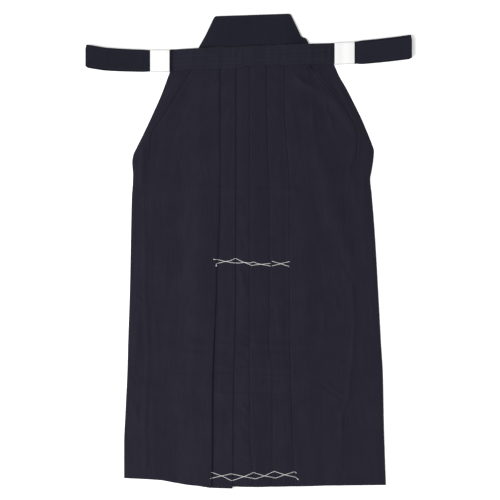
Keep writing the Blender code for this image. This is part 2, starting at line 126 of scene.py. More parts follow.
def makeStudio():
    world = bpy.data.worlds.new("studio")
    world.use_nodes = True
    tree = world.node_tree
    setInputs(tree, tree.nodes["Background"], {"Color": (1, 1, 1), "Strength": light["world"]})
    bpy.context.scene.world = world
    for name, (place, size, power) in light["lamps"].items():
        makeLamp(name, place, size, power)
    paint, tree, shader = newMaterial("floorPaint")
    setInputs(tree, shader, {
        "Base Color": floorLook["colour"], "Roughness": floorLook["roughness"],
        "Specular IOR Level": floorLook["specular"], "Emission Color": (1, 1, 1),
        "Emission Strength": floorLook["glow"],
    })
    s = floorLook["half"]
    mesh = bpy.data.meshes.new("floor")
    mesh.from_pydata([(-s, -s, 0), (s, -s, 0), (s, s, 0), (-s, s, 0)], [], [(0, 1, 2, 3)])
    mesh.materials.append(paint)
    addObject("floor", mesh)


makeCamera()
makeStudio()
bpy.context.scene.view_settings.view_transform = "Standard"
print("camera, lights and floor are ready")


# Shaders

def addNode(tree, kind, inputs, **settings):
    node = tree.nodes.new(kind)
    for key, value in settings.items():
        setattr(node, key, value)
    setInputs(tree, node, inputs)
    return node.outputs


def mathNode(tree, operation, *values):
    return addNode(tree, "ShaderNodeMath", dict(enumerate(values)), operation=operation)[0]


def mixColours(tree, share, first, second):
    return addNode(tree, "ShaderNodeMix", {0: share, 6: first, 7: second}, data_type="RGBA")[2]


def noiseNode(tree, places, scale, detail, roughness=0.5):
    values = {"Vector": places, "Scale": scale, "Detail": detail, "Roughness": roughness}
    return addNode(tree, "ShaderNodeTexNoise", values)["Fac"]


def addSocket(tree, name, kind, value=None, way="INPUT"):
    socket = tree.interface.new_socket(name, in_out=way, socket_type="NodeSocket" + kind)
    if value is not None:
        socket.default_value = value


# Threads of the weave and uneven dye, in metres of cloth
weave = {
    "threads": 1400.0,
    "contrast": 0.10,
    "relief": 0.5,
    "noises": (
        # name, share of its length that draws it out, scale, detail, roughness, contrast
        ("Slub", 0.12, 420, 3, 0.5, 0.42),
        ("Dye", 1.0, 16, 5, 0.55, 0.50),
        ("Streak", 0.035, 250, 2, 0.5, 0.50),
    ),
}


def makeWeaveGroup():
    tree = bpy.data.node_groups.new("clothWeave", "ShaderNodeTree")
    addSocket(tree, "Cloth", "Vector")
    addSocket(tree, "Threads per metre", "Float", weave["threads"])
    addSocket(tree, "Thread contrast", "Float", weave["contrast"])
    for row in weave["noises"]:
        addSocket(tree, row[0] + " contrast", "Float", row[-1])
    for name in ("Shade", "Height"):
        addSocket(tree, name, "Float", way="OUTPUT")
    start = addNode(tree, "NodeGroupInput", {})
    cloth = start["Cloth"]
    apart = addNode(tree, "ShaderNodeSeparateXYZ", {0: cloth})
    turn = mathNode(tree, "MULTIPLY", start["Threads per metre"], math.pi)
    warp, weft = [mathNode(tree, "SINE", mathNode(tree, "MULTIPLY", apart[i], turn)) for i in (0, 1)]
    threads = mathNode(tree, "MULTIPLY", warp, weft)
    shade = mathNode(tree, "MULTIPLY_ADD", threads, start["Thread contrast"], 0.5)
    noises = {}
    for name, draw, scale, detail, roughness, _ in weave["noises"]:
        places = addNode(tree, "ShaderNodeVectorMath", {0: cloth, 1: (1.0, draw, 1.0)}, operation="MULTIPLY")
        noises[name] = noiseNode(tree, places[0], scale, detail, roughness)
        part = mathNode(tree, "SUBTRACT", noises[name], 0.5)
        shade = mathNode(tree, "MULTIPLY_ADD", part, start[name + " contrast"], shade)
    height = mathNode(tree, "MULTIPLY_ADD", threads, weave["relief"], noises["Slub"])
    addNode(tree, "NodeGroupOutput", {"Shade": shade, "Height": height})
    return tree


weaveGroup = makeWeaveGroup()

# What the cloths share, and what paper and cotton share
wovenCloth = {
    "places": "UV", "threads": weave["threads"], "roughness": 0.88, "specular": 0.10, "sheen": 0.10,
    "bump": (0.35, 0.00012),
}
whiteFibres = {
    "places": "Object", "fibres": 260.0, "detail": 6, "roughness": 0.8, "specular": 0.3, "sheen": 0.0,
    "bump": (0.25, 0.0001),
}
finishes = {
    "navyCloth": {**wovenCloth, "dark": (0.0072, 0.0064, 0.0122), "pale": (0.0176, 0.0160, 0.0276)},
    "bandCloth": {**wovenCloth, "dark": (0.0071, 0.0069, 0.0131), "pale": (0.0174, 0.0169, 0.0294)},
    "tieCloth": {**wovenCloth, "dark": (0.0056, 0.0056, 0.0103), "pale": (0.0133, 0.0133, 0.0231),
                 "sheen": 0.08},
    # The wearer's left front tie: the same cloth as tieCloth, painted paler as painted light in place of the
    # light its tilt would catch
    "leftTiePaintedLighterCloth": {**wovenCloth, "dark": (0.0068, 0.0068, 0.0128), "pale": (0.0160, 0.0160, 0.0284),
                     "sheen": 0.08},
    "boardCloth": {**wovenCloth, "dark": (0.0063, 0.0063, 0.0121), "pale": (0.0126, 0.0126, 0.0231),
                   "sheen": 0.08, "roughness": 0.85},
    "navyThread": {**wovenCloth, "dark": (0.0090, 0.0086, 0.0140), "pale": (0.0330, 0.0310, 0.0440),
                   "places": "Object", "threads": 3000.0, "roughness": 0.75},
    "whitePaper": {**whiteFibres, "dark": (0.735, 0.735, 0.729), "pale": (0.823, 0.823, 0.820),
                   # grey painted along both folds at the top of the band: painted shade where the rounded
                   # folds turn from the light
                   "fold": (0.52, 0.52, 0.53),
                   "middle": 26.7,      # mm round the band from one fold to the middle of its top
                   "foldAt": 25.0,      # mm from there to each fold
                   "foldWidth": 2.6},
    "whiteCotton": {**whiteFibres, "dark": (0.78, 0.78, 0.76), "pale": (0.95, 0.95, 0.93),
                    "fibres": 900.0, "bump": (0.5, 0.0001)},
}


def paintedFoldShadeMask(tree, places, finish):
    # Painted shade: the paper is painted greyer along the folds at both sides of its top
    apart = addNode(tree, "ShaderNodeSeparateXYZ", {0: places})
    away = apart[0]
    for distance in (finish["middle"], finish["foldAt"]):
        away = mathNode(tree, "ABSOLUTE", mathNode(tree, "SUBTRACT", away, distance * mm))
    values = {"Value": away, "From Max": finish["foldWidth"] * mm, "To Min": 1.0, "To Max": 0.0}
    return addNode(tree, "ShaderNodeMapRange", values, interpolation_type="SMOOTHSTEP")["Result"]


def makeMaterial(name, finish):
    material, tree, shader = newMaterial(name)
    texture = addNode(tree, "ShaderNodeTexCoord", {})
    places = texture[finish["places"]]
    if "threads" in finish:
        values = {"Cloth": places, "Threads per metre": finish["threads"]}
        woven = addNode(tree, "ShaderNodeGroup", values, node_tree=weaveGroup)
        shade, height = woven["Shade"], woven["Height"]
    else:
        shade = height = noiseNode(tree, places, finish["fibres"], finish["detail"])
    colour = mixColours(tree, shade, finish["dark"], finish["pale"])
    # painted shade along the paper's folds
    if "fold" in finish:
        colour = mixColours(tree, paintedFoldShadeMask(tree, texture["UV"], finish), colour, finish["fold"])
    strength, distance = finish["bump"]
    bump = addNode(tree, "ShaderNodeBump", {"Strength": strength, "Distance": distance, "Height": height})
    setInputs(tree, shader, {
        "Base Color": colour, "Normal": bump[0], "Roughness": finish["roughness"],
        "Specular IOR Level": finish["specular"], "Sheen Weight": finish["sheen"], "Sheen Roughness": 0.5,
    })
    return material


materials = {name: makeMaterial(name, finish) for name, finish in finishes.items()}
print("materials are ready")


# Layout of the garment in mm. Down is the distance below the waistband's lower edge.
garment = {
    "wall": 0.8,
    "gap": 0.3,                 # air between two layers
    "pitch": 1.3,               # from one layer to the next
    "leafPitch": 1.1,
    "slope": 0.18,              # of cloth that comes down from what it lies on
    "middle": 0.5,              # from the underside of a layer to the middle of its wall
    "nowhere": -50.0,           # height of a layer where it has no cloth
    "foldInset": 1.15,
    "foldBulge": (0.65, 0.55),  # at least, and for each mm of half its rise
    "lift": (1.5, 0.6),         # how it grows towards the fold, and the share of the layer below
    "rowStep": 4.6,
    "fineRows": (590.0, 772.0, 2.2),
    "bandPlaces": (-36, -28, -18, -12, -6, 0),
    "evenEnd": 922.0,
    "hemPlaces": (924.5, 926.2, 927.4, 928.6, 931, 935.5, 940.0),
    "columnStep": 3.3,
    "hiddenStep": 12.0,
    "gridStep": 1.5,
    "legLength": 940.0,
    "bandHeight": 46.0,
    "panelTop": 43.0,
    "boardEdge": 18.0,
    "boardThick": 5.0,
    "hemDroop": 4.2,
    "droopLength": 40.0,
    "droopSpan": (-126, -78),   # x from where nothing droops to where all does
    "backTieEnd": 720.0,
    "openingEnd": 193.0,
    "stepStart": 216.0,
    "sideOpening": 200.0,
    "backCorner": {"right": 126.0, "left": 145.0},
}
sideSign = {"right": -1, "left": 1}
sideColumn = {"right": 1, "left": 2}

outlineRows = (
    # down, right, left
    (0, 178.5, 193.3), (26, 187.8, 204.8), (54, 198.2, 221.2), (95, 216.0, 242.5), (125, 229.5, 257.2),
    (155, 243.8, 270.0), (178, 255.0, 279.2), (194, 262.0, 284.0), (210, 264.4, 282.8), (240, 262.5, 278.4),
    (256, 262.9, 275.3), (290, 265.2, 278.6), (375, 267.1, 285.6), (500, 269.5, 293.1), (625, 273.6, 300.0),
    (690, 275.3, 304.1), (795, 280.1, 306.2), (860, 282.9, 308.2), (940, 282.8, 311.0),
)
pleatRows = (
    # down, right 1, right 2, left 3, left 2, left 1
    (0, -66.1, -29.6, 3.3, 42.1, 82.2), (100, -66.1, -29.7, 3.3, 42.3, 81.8),
    (160, -66.1, -29.8, 3.3, 43.0, 86.0), (275, -66.1, -30.0, 3.3, 47.5, 93.0),
    (390, -69.4, -30.2, 3.3, 47.8, 93.5), (460, -73.4, -30.3, 3.3, 47.9, 93.6),
    (520, -75.2, -30.5, 3.3, 47.6, 93.8), (630, -80.0, -32.6, 3.3, 47.2, 94.2),
    (680, -82.0, -34.4, 3.3, 54.0, 96.0), (745, -83.1, -35.7, 3.4, 54.1, 97.5),
    (845, -83.1, -36.3, 3.8, 54.1, 101.3), (880, -83.5, -36.5, 8.0, 54.1, 102.6),
    (940, -85.0, -36.7, 11.0, 54.1, 104.8),
)
secondDepthRows = ((0, 25), (940, 32))
liftRows = ((0, 0), (270, 0), (390, 0.3), (520, 0.7), (660, 2.0), (800, 3.4), (880, 3.0), (940, 1.5))
leafRows = (
    # down, right, left, depth
    (0, 129.0, 137.0, 12), (32, 149.0, 160.5, 12), (75, 176.0, 200.0, 12), (115, 202.0, 228.0, 10),
    (140, 218.0, 241.5, 8), (155, 222.0, 246.0, 7), (178, 223.3, 245.0, 5), (193, 224.2, 244.0, 4),
)
stepRows = (
    # down, right, left, width, rise
    (193, 225.0, 244.0, 2.0, 2.2), (203, 226.0, 243.5, 3.2, 2.0), (216, 226.5, 242.0, 8, 1.6),
    (240, 225.0, 240.6, 12, 1.1), (340, 234.0, 240.2, 14, 0.9), (436, 237.0, 240.0, 14, 0.9),
    (520, 231.5, 242.0, 14, 0.9), (610, 221.5, 240.5, 14, 1.0), (690, 225.0, 236.0, 14, 1.2),
    (760, 229.0, 228.0, 14, 1.0), (840, 227.5, 215.5, 14, 1.0), (940, 227.5, 214.6, 14, 0.8),
)
bandRows = (
    # x, high, low
    (-178.5, 456.6, 408.1), (-112.8, 459.4, 411.5), (-31.0, 462.0, 413.7), (3.0, 463.2, 419.4),
    (136.6, 469.3, 422.6), (193.3, 471.6, 423.9),
)
hemRows = (
    # x, y
    (-282.0, -515.3), (-234.0, -517.6), (-200.0, -519.9), (-166.0, -526.0), (-126.0, -531.4), (-36.0, -534.2),
    (4.0, -535.0), (104.8, -533.6), (188.7, -532.2), (310.5, -530.8),
)
linesBeside = (
    # line, the line that it follows, and its distance from that
    ("rightDeep1", "rightFold1", -50), ("rightFold3", "leftFold3", 12), ("rightDeep3", "rightFold3", -36),
    ("rightSeam", "leftFold3", 6), ("leftSeam", "leftFold3", 6), ("leftDeep3", "leftFold3", 28),
    ("leftDeep1", "leftFold1", 41), ("rightTieIn", "rightFold1", -2), ("rightTieOut", "rightTieIn", -45),
    ("leftTieOut", "leftDeep1", -2), ("leftTieIn", "leftTieOut", -45),
)


def along(rows, at, column=1):
    # A smooth curve through a table's rows that never overshoots them
    table = np.array(rows, float)
    knots, values = table[:, 0], table[:, column]
    spans = np.diff(knots)
    slopes = np.diff(values) / spans
    tangents = np.concatenate([slopes[:1], np.zeros(len(slopes) - 1), slopes[-1:]])
    steady = slopes[1:] * slopes[:-1] > 0
    both = slopes[1:] + slopes[:-1]
    tangents[1:-1][steady] = 2 * (slopes[1:] * slopes[:-1])[steady] / both[steady]
    at = np.clip(np.asarray(at, float), knots[0], knots[-1])
    cell = np.clip(np.searchsorted(knots, at, side="right") - 1, 0, len(spans) - 1)
    t = (at - knots[cell]) / spans[cell]
    first = (1 + 2 * t) * (1 - t) ** 2 * values[cell] + t * (1 - t) ** 2 * spans[cell] * tangents[cell]
    return first + t * t * (3 - 2 * t) * values[cell + 1] + t * t * (t - 1) * spans[cell] * tangents[cell + 1]


def easeBetween(value, low, high):
    t = np.clip((np.asarray(value, float) - low) / (high - low), 0, 1)
    return t * t * (3 - 2 * t)


def bell(distance, width):
    return np.exp(-(distance / width) ** 2)


def spread(first, last, count):
    # Even places from one line to another, row by row
    return first[:, None] + (last - first)[:, None] * np.linspace(0, 1, count)


def wrapped(grid):
    # Rows of a grid that go round, closed by their first column
    return np.concatenate([grid, grid[:, :1]], 1)


def cellCorners(grid):
    return np.stack([grid[:-1, :-1], grid[:-1, 1:], grid[1:, 1:], grid[1:, :-1]], 2)


def backEdge(side, down):
    opening, edge = garment["sideOpening"], garment["boardEdge"]
    corner = garment["backCorner"][side]
    foot = along(outlineRows, opening, sideColumn[side])
    slanted = corner + (down + edge) / (opening + edge) * (foot - corner)
    return np.where(down >= opening, along(outlineRows, down, sideColumn[side]), slanted)


def columnsAt(down):
    # X of each pleat edge, seam and side line, for an array of distances below the waistband
    names = ("rightFold1", "rightFold2", "leftFold3", "leftFold2", "leftFold1")
    c = {name: along(pleatRows, down, number) for number, name in enumerate(names, 1)}
    second = along(secondDepthRows, down)
    c["rightDeep2"] = c["rightFold2"] - second
    c["leftDeep2"] = c["leftFold2"] + second
    for name, beside, distance in linesBeside:
        c[name] = c[beside] + distance
    c["open"] = easeBetween(down, garment["openingEnd"], garment["stepStart"])
    for side, column in sideColumn.items():
        outward = {"Edge": along(outlineRows, down, column), "Back": backEdge(side, down)}
        for name, rows in (("Leaf", leafRows), ("Step", stepRows)):
            outward[name] = along(rows, down, column)
            outward[name + "In"] = outward[name] - along(rows, down, 3)
        for end in ("", "In"):
            outward["Leaf" + end + "Line"] = (outward["Leaf" + end] * (1 - c["open"])
                                              + outward["Step" + end] * c["open"])
        c.update({side + name: sideSign[side] * place for name, place in outward.items()})
    return c


def panelY(x, down, droop=0.0):
    low = along(bandRows, x, 2)
    high = along(bandRows, x, 1)
    y = np.where(down <= 0, low - (high - low) * down / garment["bandHeight"],
                 low + (along(hemRows, x) - low) * down / garment["legLength"])
    near = np.clip(1 - (garment["legLength"] - down) / garment["droopLength"], 0, 1)
    return y - droop * garment["hemDroop"] * easeBetween(x, *garment["droopSpan"]) * near


def settle(rows, falls):
    # Each row comes down from the ones beside it by no more than the fall between them
    for i in range(1, len(rows)):
        rows[i] = np.maximum(rows[i], rows[i - 1] - falls[i - 1])
    for i in range(len(rows) - 2, -1, -1):
        rows[i] = np.maximum(rows[i], rows[i + 1] - falls[i])


def drape(z, down):
    settle(z.T, np.full(z.shape[1] - 1, garment["slope"] * garment["gridStep"]))
    settle(z, garment["slope"] * np.diff(down))
    for turn in range(3):
        z[:, 1:-1] = (z[:, :-2] + 2 * z[:, 1:-1] + z[:, 2:]) / 4
    return z


pleatLayers = (
    # layer, its outer and inner lines, from the bottom up
    ("Return3", "Deep3", "Fold3"), ("Strip2", "Deep2", "Fold3"), ("Return2", "Deep2", "Fold2"),
    ("Strip1", "Deep1", "Fold2"), ("Return1", "Deep1", "Fold1"), ("LeafStrip", "Edge", "LeafInLine"),
    ("Field", "LeafLine", "Fold1"),
)
gridX = np.arange(-330, 330.1, garment["gridStep"])

# Fold edges that curl up a little from what they lie on: upper and lower layer
curl = {
    "height": 0.5,
    "reach": 13.0,
    "power": 1.6,
    "lowerShare": 0.8,
    "starts": (4, 40),          # mm below the waistband
}
curledFolds = {
    "leftFold3": ("leftStrip2", "leftReturn3"), "leftFold2": ("leftStrip1", "leftReturn2"),
    "leftFold1": ("leftField", "leftReturn1"),
}

# What lies under a pressed fold edge dips beside it: that edge, and the depth in mm
dips = {
    "rightStrip2": ("leftFold3", 0.9), "rightReturn3": ("leftFold3", 0.7),
    "rightUnderlay": ("leftFold3", 0.6), "leftStrip2": ("leftFold2", 0.9),
    "leftStrip1": ("leftFold1", 0.9), "rightLeafStrip": ("rightLeafLine", 1.3),
}
dipPlaces = (-5.0, -3.4, -2.2, -1.2, -0.2, 1.0)
dipMiddle = 0.5
dipWidth = 2.4

# Cloth swells up beside a fold that lies loosely on it: that fold, distance, width and height in mm
swells = {"leftLeafStrip": ("leftLeafLine", 5.0, 4.2, 1.7)}
swellStarts = (4, 30)


def stackCloth(down, c):
    # Underside of every layer on a fine grid, laid one after another
    g = garment
    x = gridX[None, :]
    column = {name: values[:, None] for name, values in c.items()}
    layers = {}

    def between(first, last, reach=0.0):
        a, b = column[first], column[last]
        return (x >= np.minimum(a, b) - reach) & (x <= np.maximum(a, b) + reach)

    def lay(name, first, last, end=g["legLength"]):
        nonlocal top
        span = between(first, last, 0.01) & (down[:, None] <= end)
        layers[name] = drape(np.where(span, top, g["nowhere"]), down)
        top = np.where(span, layers[name] + g["pitch"], top)

    top = np.where(between("rightBack", "leftBack"), g["pitch"], 0.0)
    top = np.where(between("rightDeep1", "leftDeep1"), 3 * g["pitch"], top)     # the back's pleats
    overBoard = np.where(between("rightLeaf", "leftLeaf"), g["boardThick"] + g["gap"], 0)
    top = np.where(down[:, None] <= -g["boardEdge"], overBoard, top)
    for side in sideSign:
        lay(side + "BackTie", side + "TieOut", side + "TieIn", g["backTieEnd"])
    lay("bandInner", "rightEdge", "leftEdge", 0)
    lay("underlay", "rightDeep3", "leftDeep3")
    rise = along(stepRows, down, 4)[:, None]
    for side in sideSign:
        for name, outer, inner in pleatLayers:
            if name == "Field":
                step = between(side + "LeafLine", side + "LeafInLine", 0.8)
                top = np.where(step, layers[side + "LeafStrip"] + rise, top)
            lay(side + name, side + outer, side + inner)
        layers[side + "LeafReturn"] = layers[side + "LeafStrip"] + g["leafPitch"]
        layers[side + "Underlay"] = layers["underlay"]
    lay("bandOuter", "rightEdge", "leftEdge", 0)
    share = (x - column["rightDeep1"]) / (column["rightFold1"] - column["rightDeep1"])
    power, lowerShare = g["lift"]
    lift = along(liftRows, down)[:, None] * np.clip(share, 0, 1) ** power
    layers["rightField"] += lift
    layers["rightReturn1"] += lowerShare * lift
    for fold, (upper, lower) in curledFolds.items():
        near = np.clip(1 - np.abs(x - column[fold]) / curl["reach"], 0, 1) ** curl["power"]
        lift = curl["height"] * easeBetween(down, *curl["starts"])[:, None] * near
        layers[upper] += lift
        layers[lower] += curl["lowerShare"] * lift
    return layers


def heightOf(layer, x):
    # Middle of a layer's wall at places along each row
    at = np.clip((x - gridX[0]) / garment["gridStep"], 0, len(gridX) - 1.001)
    cell = at.astype(int)
    rows = np.arange(len(layer))[:, None]
    part = at - cell
    return layer[rows, cell] * (1 - part) + layer[rows, cell + 1] * part + garment["middle"]


# Creases that pressing and folding left, as ridges and troughs: mm
frontCreases = (
    # x, y, x, y, width, height
    # long soft forms of the wearer's left panel
    (141, 342, 166, 211, 23, 6.8), (166, 211, 196, 73, 22, 7.4), (196, 73, 227, -34, 16, 5.6),
    (107, 390, 157, 367, 12, 3.6), (157, 367, 198, 333, 11, 3.8), (198, 333, 232, 281, 9, 3.0),
    (232, 281, 242, 247, 6, 2.0), (239, 170, 241, 102, 6, 1.8), (261, 179, 264, -25, 7, 1.7),
    (233, -73, 239, -163, 5, 2.9), (239, -163, 232, -268, 5, 2.9), (232, -268, 225, -338, 5, 2.6),
    (225, -338, 210, -374, 5, 2.0), (210, -374, 210, -496, 4.6, 2.2), (191, -93, 207, -141, 5, 2.0),
    (202, -16, 223, -68, 6, 2.2), (116, -288, 166, -315, 4, 1.3), (166, -315, 209, -342, 4, 1.4),
    (168, -295, 218, -331, 4, 1.6), (152, -229, 177, -209, 4, 1.5), (116, 116, 123, -179, 16, 1.6),
    (175, -111, 166, -224, 9, 1.6), (94, 365, 107, 229, 9, 1.2), (116, 320, 128, 138, 8, -1.0),
    # wearer's right panel
    (-111, 122, -115, -213, 34, 6.8), (-179, 342, -201, 161, 14, 1.5), (-160, -202, -147, -428, 16, 1.8),
    (-133, 144, -2, 138, 3.6, 1.6), (-142, 188, -90, 181, 11, -1.6), (-133, 218, -117, 161, 11, -1.2),
    (-149, 404, -183, 351, 7, 2.2), (-183, 351, -219, 299, 7, 2.2), (-219, 299, -237, 256, 6, 2.0),
    (-240, 238, -241, 143, 6, 2.8), (-244, 206, -245, 147, 4, 0.9), (-239, 134, -236, 25, 6, 2.0),
    (-236, 25, -235, -111, 6, 1.9), (-235, -111, -228, -213, 6, 2.0), (-228, -213, -231, -274, 6, 1.8),
    (-231, -274, -235, -383, 6, 2.0), (-235, -383, -233, -501, 6, 2.0), (-260, 127, -235, 136, 3, 1.6),
    (-253, 116, -233, 84, 4, -1.4), (-260, -102, -240, -118, 4, 1.9), (-256, -152, -253, -261, 7, 1.5),
    (-267, -274, -253, -302, 4, -1.6), (-260, -338, -251, -394, 6, 1.4), (-111, 297, -120, 170, 12, 1.2),
    (-147, 229, -160, 156, 6, -0.9),
    # small wrinkles at the wearer's left end of the waistband
    (134, 422, 134, 392, 4.6, 2.8), (103, 400, 124, 380, 5, 2.6), (124, 380, 152, 366, 5, 2.6),
    (148, 412, 168, 386, 8, 4.0), (168, 386, 186, 366, 6, 2.6), (176, 404, 183, 384, 4.4, 2.4),
    (204, 370, 219, 345, 6.5, 3.2), (219, 345, 240, 302, 6, 3.0), (222, 330, 231, 314, 4.4, -1.3),
    (144, 340, 145, 272, 5, 2.4), (174, 356, 175, 308, 3.8, 1.6), (184, 312, 188, 274, 4.4, 2.2),
    (156, 250, 158, 188, 10, 2.6),
    # lines across that the folding pressed
    (-147, -209, -92, -209, 3.2, 1.9), (-142, -224, -92, -225, 4.0, -2.2), (-77, -211, -38, -211, 3.2, 2.2),
    (-77, -227, -39, -227, 3.6, -2.2), (-79, -273, -37, -273, 3.2, -2.2), (-27, -277, 98, -280, 3.4, -2.2),
    (-160, -274, -97, -277, 3.4, -1.2), (-79, -261, -37, -261, 3.4, 1.4), (-27, -265, 98, -268, 3.4, 1.4),
    (-27, -227, -4, -231, 3.4, -2.0), (7, -226, 98, -227, 4.0, -2.0), (7, -210, 98, -212, 3.2, 1.7),
    (50, -218, 89, -218, 2.6, 1.0), (-77, -323, 1, -326, 3.4, 1.7), (7, -321, 98, -323, 3.4, -1.4),
    (-24, -290, 98, -292, 6, -1.5), (-79, 124, 98, 125, 3.4, -1.3), (3, 141, 116, 137, 3.4, 1.8),
    # wrinkles between the pleats
    (-18, 118, 1, 96, 3, -1.6), (-18, 25, -2, 7, 3, -1.7), (-13, -50, 16, -62, 3.2, -1.6),
    (-24, -25, -4, -111, 6, 1.9), (-24, -186, 1, -193, 4, -1.9), (-24, -211, -2, -219, 3.5, 2.0),
    (-22, -243, -2, -256, 4, 1.9), (-24, -342, 1, -365, 5, 2.4), (-22, -392, 1, -413, 4.5, -2.0),
    (-20, -419, 1, -444, 5, 2.1), (-24, -462, -4, -481, 4.5, -1.9), (-52, -111, -58, -202, 7, 1.4),
    (-61, -311, -56, -342, 6, 1.5), (-52, -347, -45, -428, 7, -1.4), (55, -185, 73, -179, 3, -1.3),
    (62, -111, 75, -202, 7, 1.3), (-15, 93, -6, 25, 5, 1.6),
)
backCreases = (
    (-262, -215, -150, -213, 5.0, 0.7), (-120, -278, 60, -281, 4.5, 0.7), (60, -214, 230, -220, 5.0, 0.7),
    (-200, 130, 120, 136, 6.0, 0.6), (-150, 300, -190, 60, 9.0, 0.8), (190, 230, 236, -60, 9.0, 0.8),
    (90, 60, 110, -150, 8.0, 0.7), (-90, -330, -110, -470, 8.0, 0.7), (200, -330, 230, -480, 9.0, 0.8),
    (-40, 330, -60, 200, 8.0, 0.6),
)
undulation = (
    # waves per metre across and along, phase, height in mm
    (9.0, 1.6, 0.4, 0.34), (-13.0, 2.7, 2.1, 0.24), (21.0, -3.4, 1.2, 0.16), (5.0, 5.2, 3.3, 0.22),
    (33.0, 7.0, 5.0, 0.07), (-27.0, 15.0, 0.7, 0.06), (11.0, 19.0, 4.1, 0.08),
)


creaseLook = {
    "uneven": (0.15, 0.035, 1.3, 9),    # share of the height, turns for each mm, slant, shift
    "fade": (2.2, 0.4),                 # widths from a free end, but at most this share of the length
    "endShare": 0.15,                   # of the height that is left at a free end
}


def creaseHeight(x, y, creases):
    # A row that starts where the last one ends goes on with the same crease, and free ends fade out
    share, turns, slant, shift = creaseLook["uneven"]
    widths, mostLength = creaseLook["fade"]
    left = creaseLook["endShare"]
    total = np.zeros_like(x)
    chain = np.zeros_like(x)
    for number, (x0, y0, x1, y1, width, height) in enumerate(creases):
        goesOn = number > 0 and creases[number - 1][2:4] == (x0, y0)
        goesFurther = number + 1 < len(creases) and creases[number + 1][:2] == (x1, y1)
        length = math.hypot(x1 - x0, y1 - y0)
        t = np.clip(((x - x0) * (x1 - x0) + (y - y0) * (y1 - y0)) / length ** 2, 0, 1)
        away = (x - x0 - t * (x1 - x0)) ** 2 + (y - y0 - t * (y1 - y0)) ** 2
        uneven = 1 + share * np.sin(turns * (x - slant * y) + height * shift)
        fade = min(widths * width, mostLength * length)
        ends = 1.0
        for held, place in ((goesOn, t), (goesFurther, 1 - t)):
            if not held:
                ends = ends * (left + (1 - left) * easeBetween(place * length, 0, fade))
        ridge = height * uneven * ends * np.exp(-away / width ** 2)
        if goesOn:
            chain = np.where(np.abs(ridge) > np.abs(chain), ridge, chain)
        else:
            total += chain
            chain = ridge
    return total + chain


# How the front panels' relief rises from their layers: mm
relief = {
    "base": 1.3,
    "backMost": 1.2,
    "edgeShare": (0.3, 16),     # what is left of it at the outline, and how far in that reaches
    "edgeRoll": (0.7, 3, 10),   # how much it drops there, how wide, and how soon below the waistband
    "soft": 0.2,                # how softly it is kept above nothing, in mm2
    "belowBand": 18,
    "hemFold": 0.5,
    "hemFoldAt": (926.2, 928.6),
}


def backRise(x, y):
    return np.clip(creaseHeight(x, y, backCreases), 0, relief["backMost"])


def frontRise(x, y, down):
    r = relief
    waves = np.zeros_like(x)
    for across, lengthways, phase, height in undulation:
        waves += height * np.sin((across * x + lengthways * y) * 2 * math.pi * mm + phase)
    rise = r["base"] + waves + creaseHeight(x, y, frontCreases)
    rise = 0.5 * (rise + np.sqrt(rise ** 2 + r["soft"]))
    inward = np.where(x < 0, along(outlineRows, down, 1), along(outlineRows, down, 2)) - np.abs(x)
    share, reach = r["edgeShare"]
    roll, width, start = r["edgeRoll"]
    rise = rise * (share + (1 - share) * easeBetween(inward, 0, reach)) * easeBetween(down, 0, r["belowBand"])
    hemFold = r["hemFold"] * easeBetween(down, *r["hemFoldAt"])
    return rise + backRise(x, y) + hemFold - roll * bell(inward, width) * easeBetween(down, 0, start)


def frontRowPlaces():
    g = garment
    first, last, fine = g["fineRows"]
    leg = [np.arange(*way) for way in ((g["rowStep"], first, g["rowStep"]), (first, last, fine),
                                       (last, g["evenEnd"], g["rowStep"]))]
    return np.concatenate([[-g["panelTop"]], g["bandPlaces"], *leg, g["hemPlaces"]])


legWay = (
    # run, from, to, whether it can droop at the hem
    ("LeafStrip", "Edge", "LeafIn", False),
    ("LeafReturn", "LeafIn", "Leaf", False),
    ("Field", "Leaf", "Fold1", True),
    ("Return1", "Fold1", "Deep1", True),
    ("Strip1", "Deep1", "Fold2", True),
    ("Return2", "Fold2", "Deep2", False),
    ("Strip2", "Deep2", "Fold3", False),
    ("Return3", "Fold3", "Deep3", False),
    ("Underlay", "Deep3", "Seam", False),
)
seenRuns = ("LeafStrip", "Field", "Strip1", "Strip2")
seamInset = 0.15
foldAngles = (45, 90, 135)


def foldPoints(before, after, way):
    # Three points round a fold between the end of one run and the start of the next
    middle = (before + after) / 2
    rise = (after[:, 1] - before[:, 1]) / 2
    least, share = garment["foldBulge"]
    bulge = np.maximum(least, share * np.abs(rise))
    points = []
    for angle in foldAngles:
        turn = math.radians(angle)
        x = middle[:, 0] + way * bulge * math.sin(turn)
        points.append(np.stack([x, middle[:, 1] - rise * math.cos(turn)], -1))
    return np.stack(points, 1)


def joinRuns(runs):
    # One path through runs of cloth, with a fold from each to the next
    parts = runs[:1]
    for before, after in zip(runs[:-1], runs[1:]):
        way = np.sign(before[0, -1, 0] - before[0, 0, 0])
        parts += [foldPoints(before[:, -1], after[:, 0], way), after]
    return np.concatenate(parts, 1)


def aroundEdge(start, finish, edge, count):
    # Places along a run, close together where another fold's edge lies on it
    places = dipPlaces if start.mean() < finish.mean() else dipPlaces[::-1]
    near, far = edge + places[0], edge + places[-1]
    share = np.abs(near - start).mean() / np.abs(finish - start).mean()
    before = max(3, int(round(count * share)))
    after = max(2, int(round(count * (1 - share))) - 1)
    middle = edge[:, None] + np.array(places[1:-1])
    return np.concatenate([spread(start, near, before), middle, spread(far, finish, after)], 1)


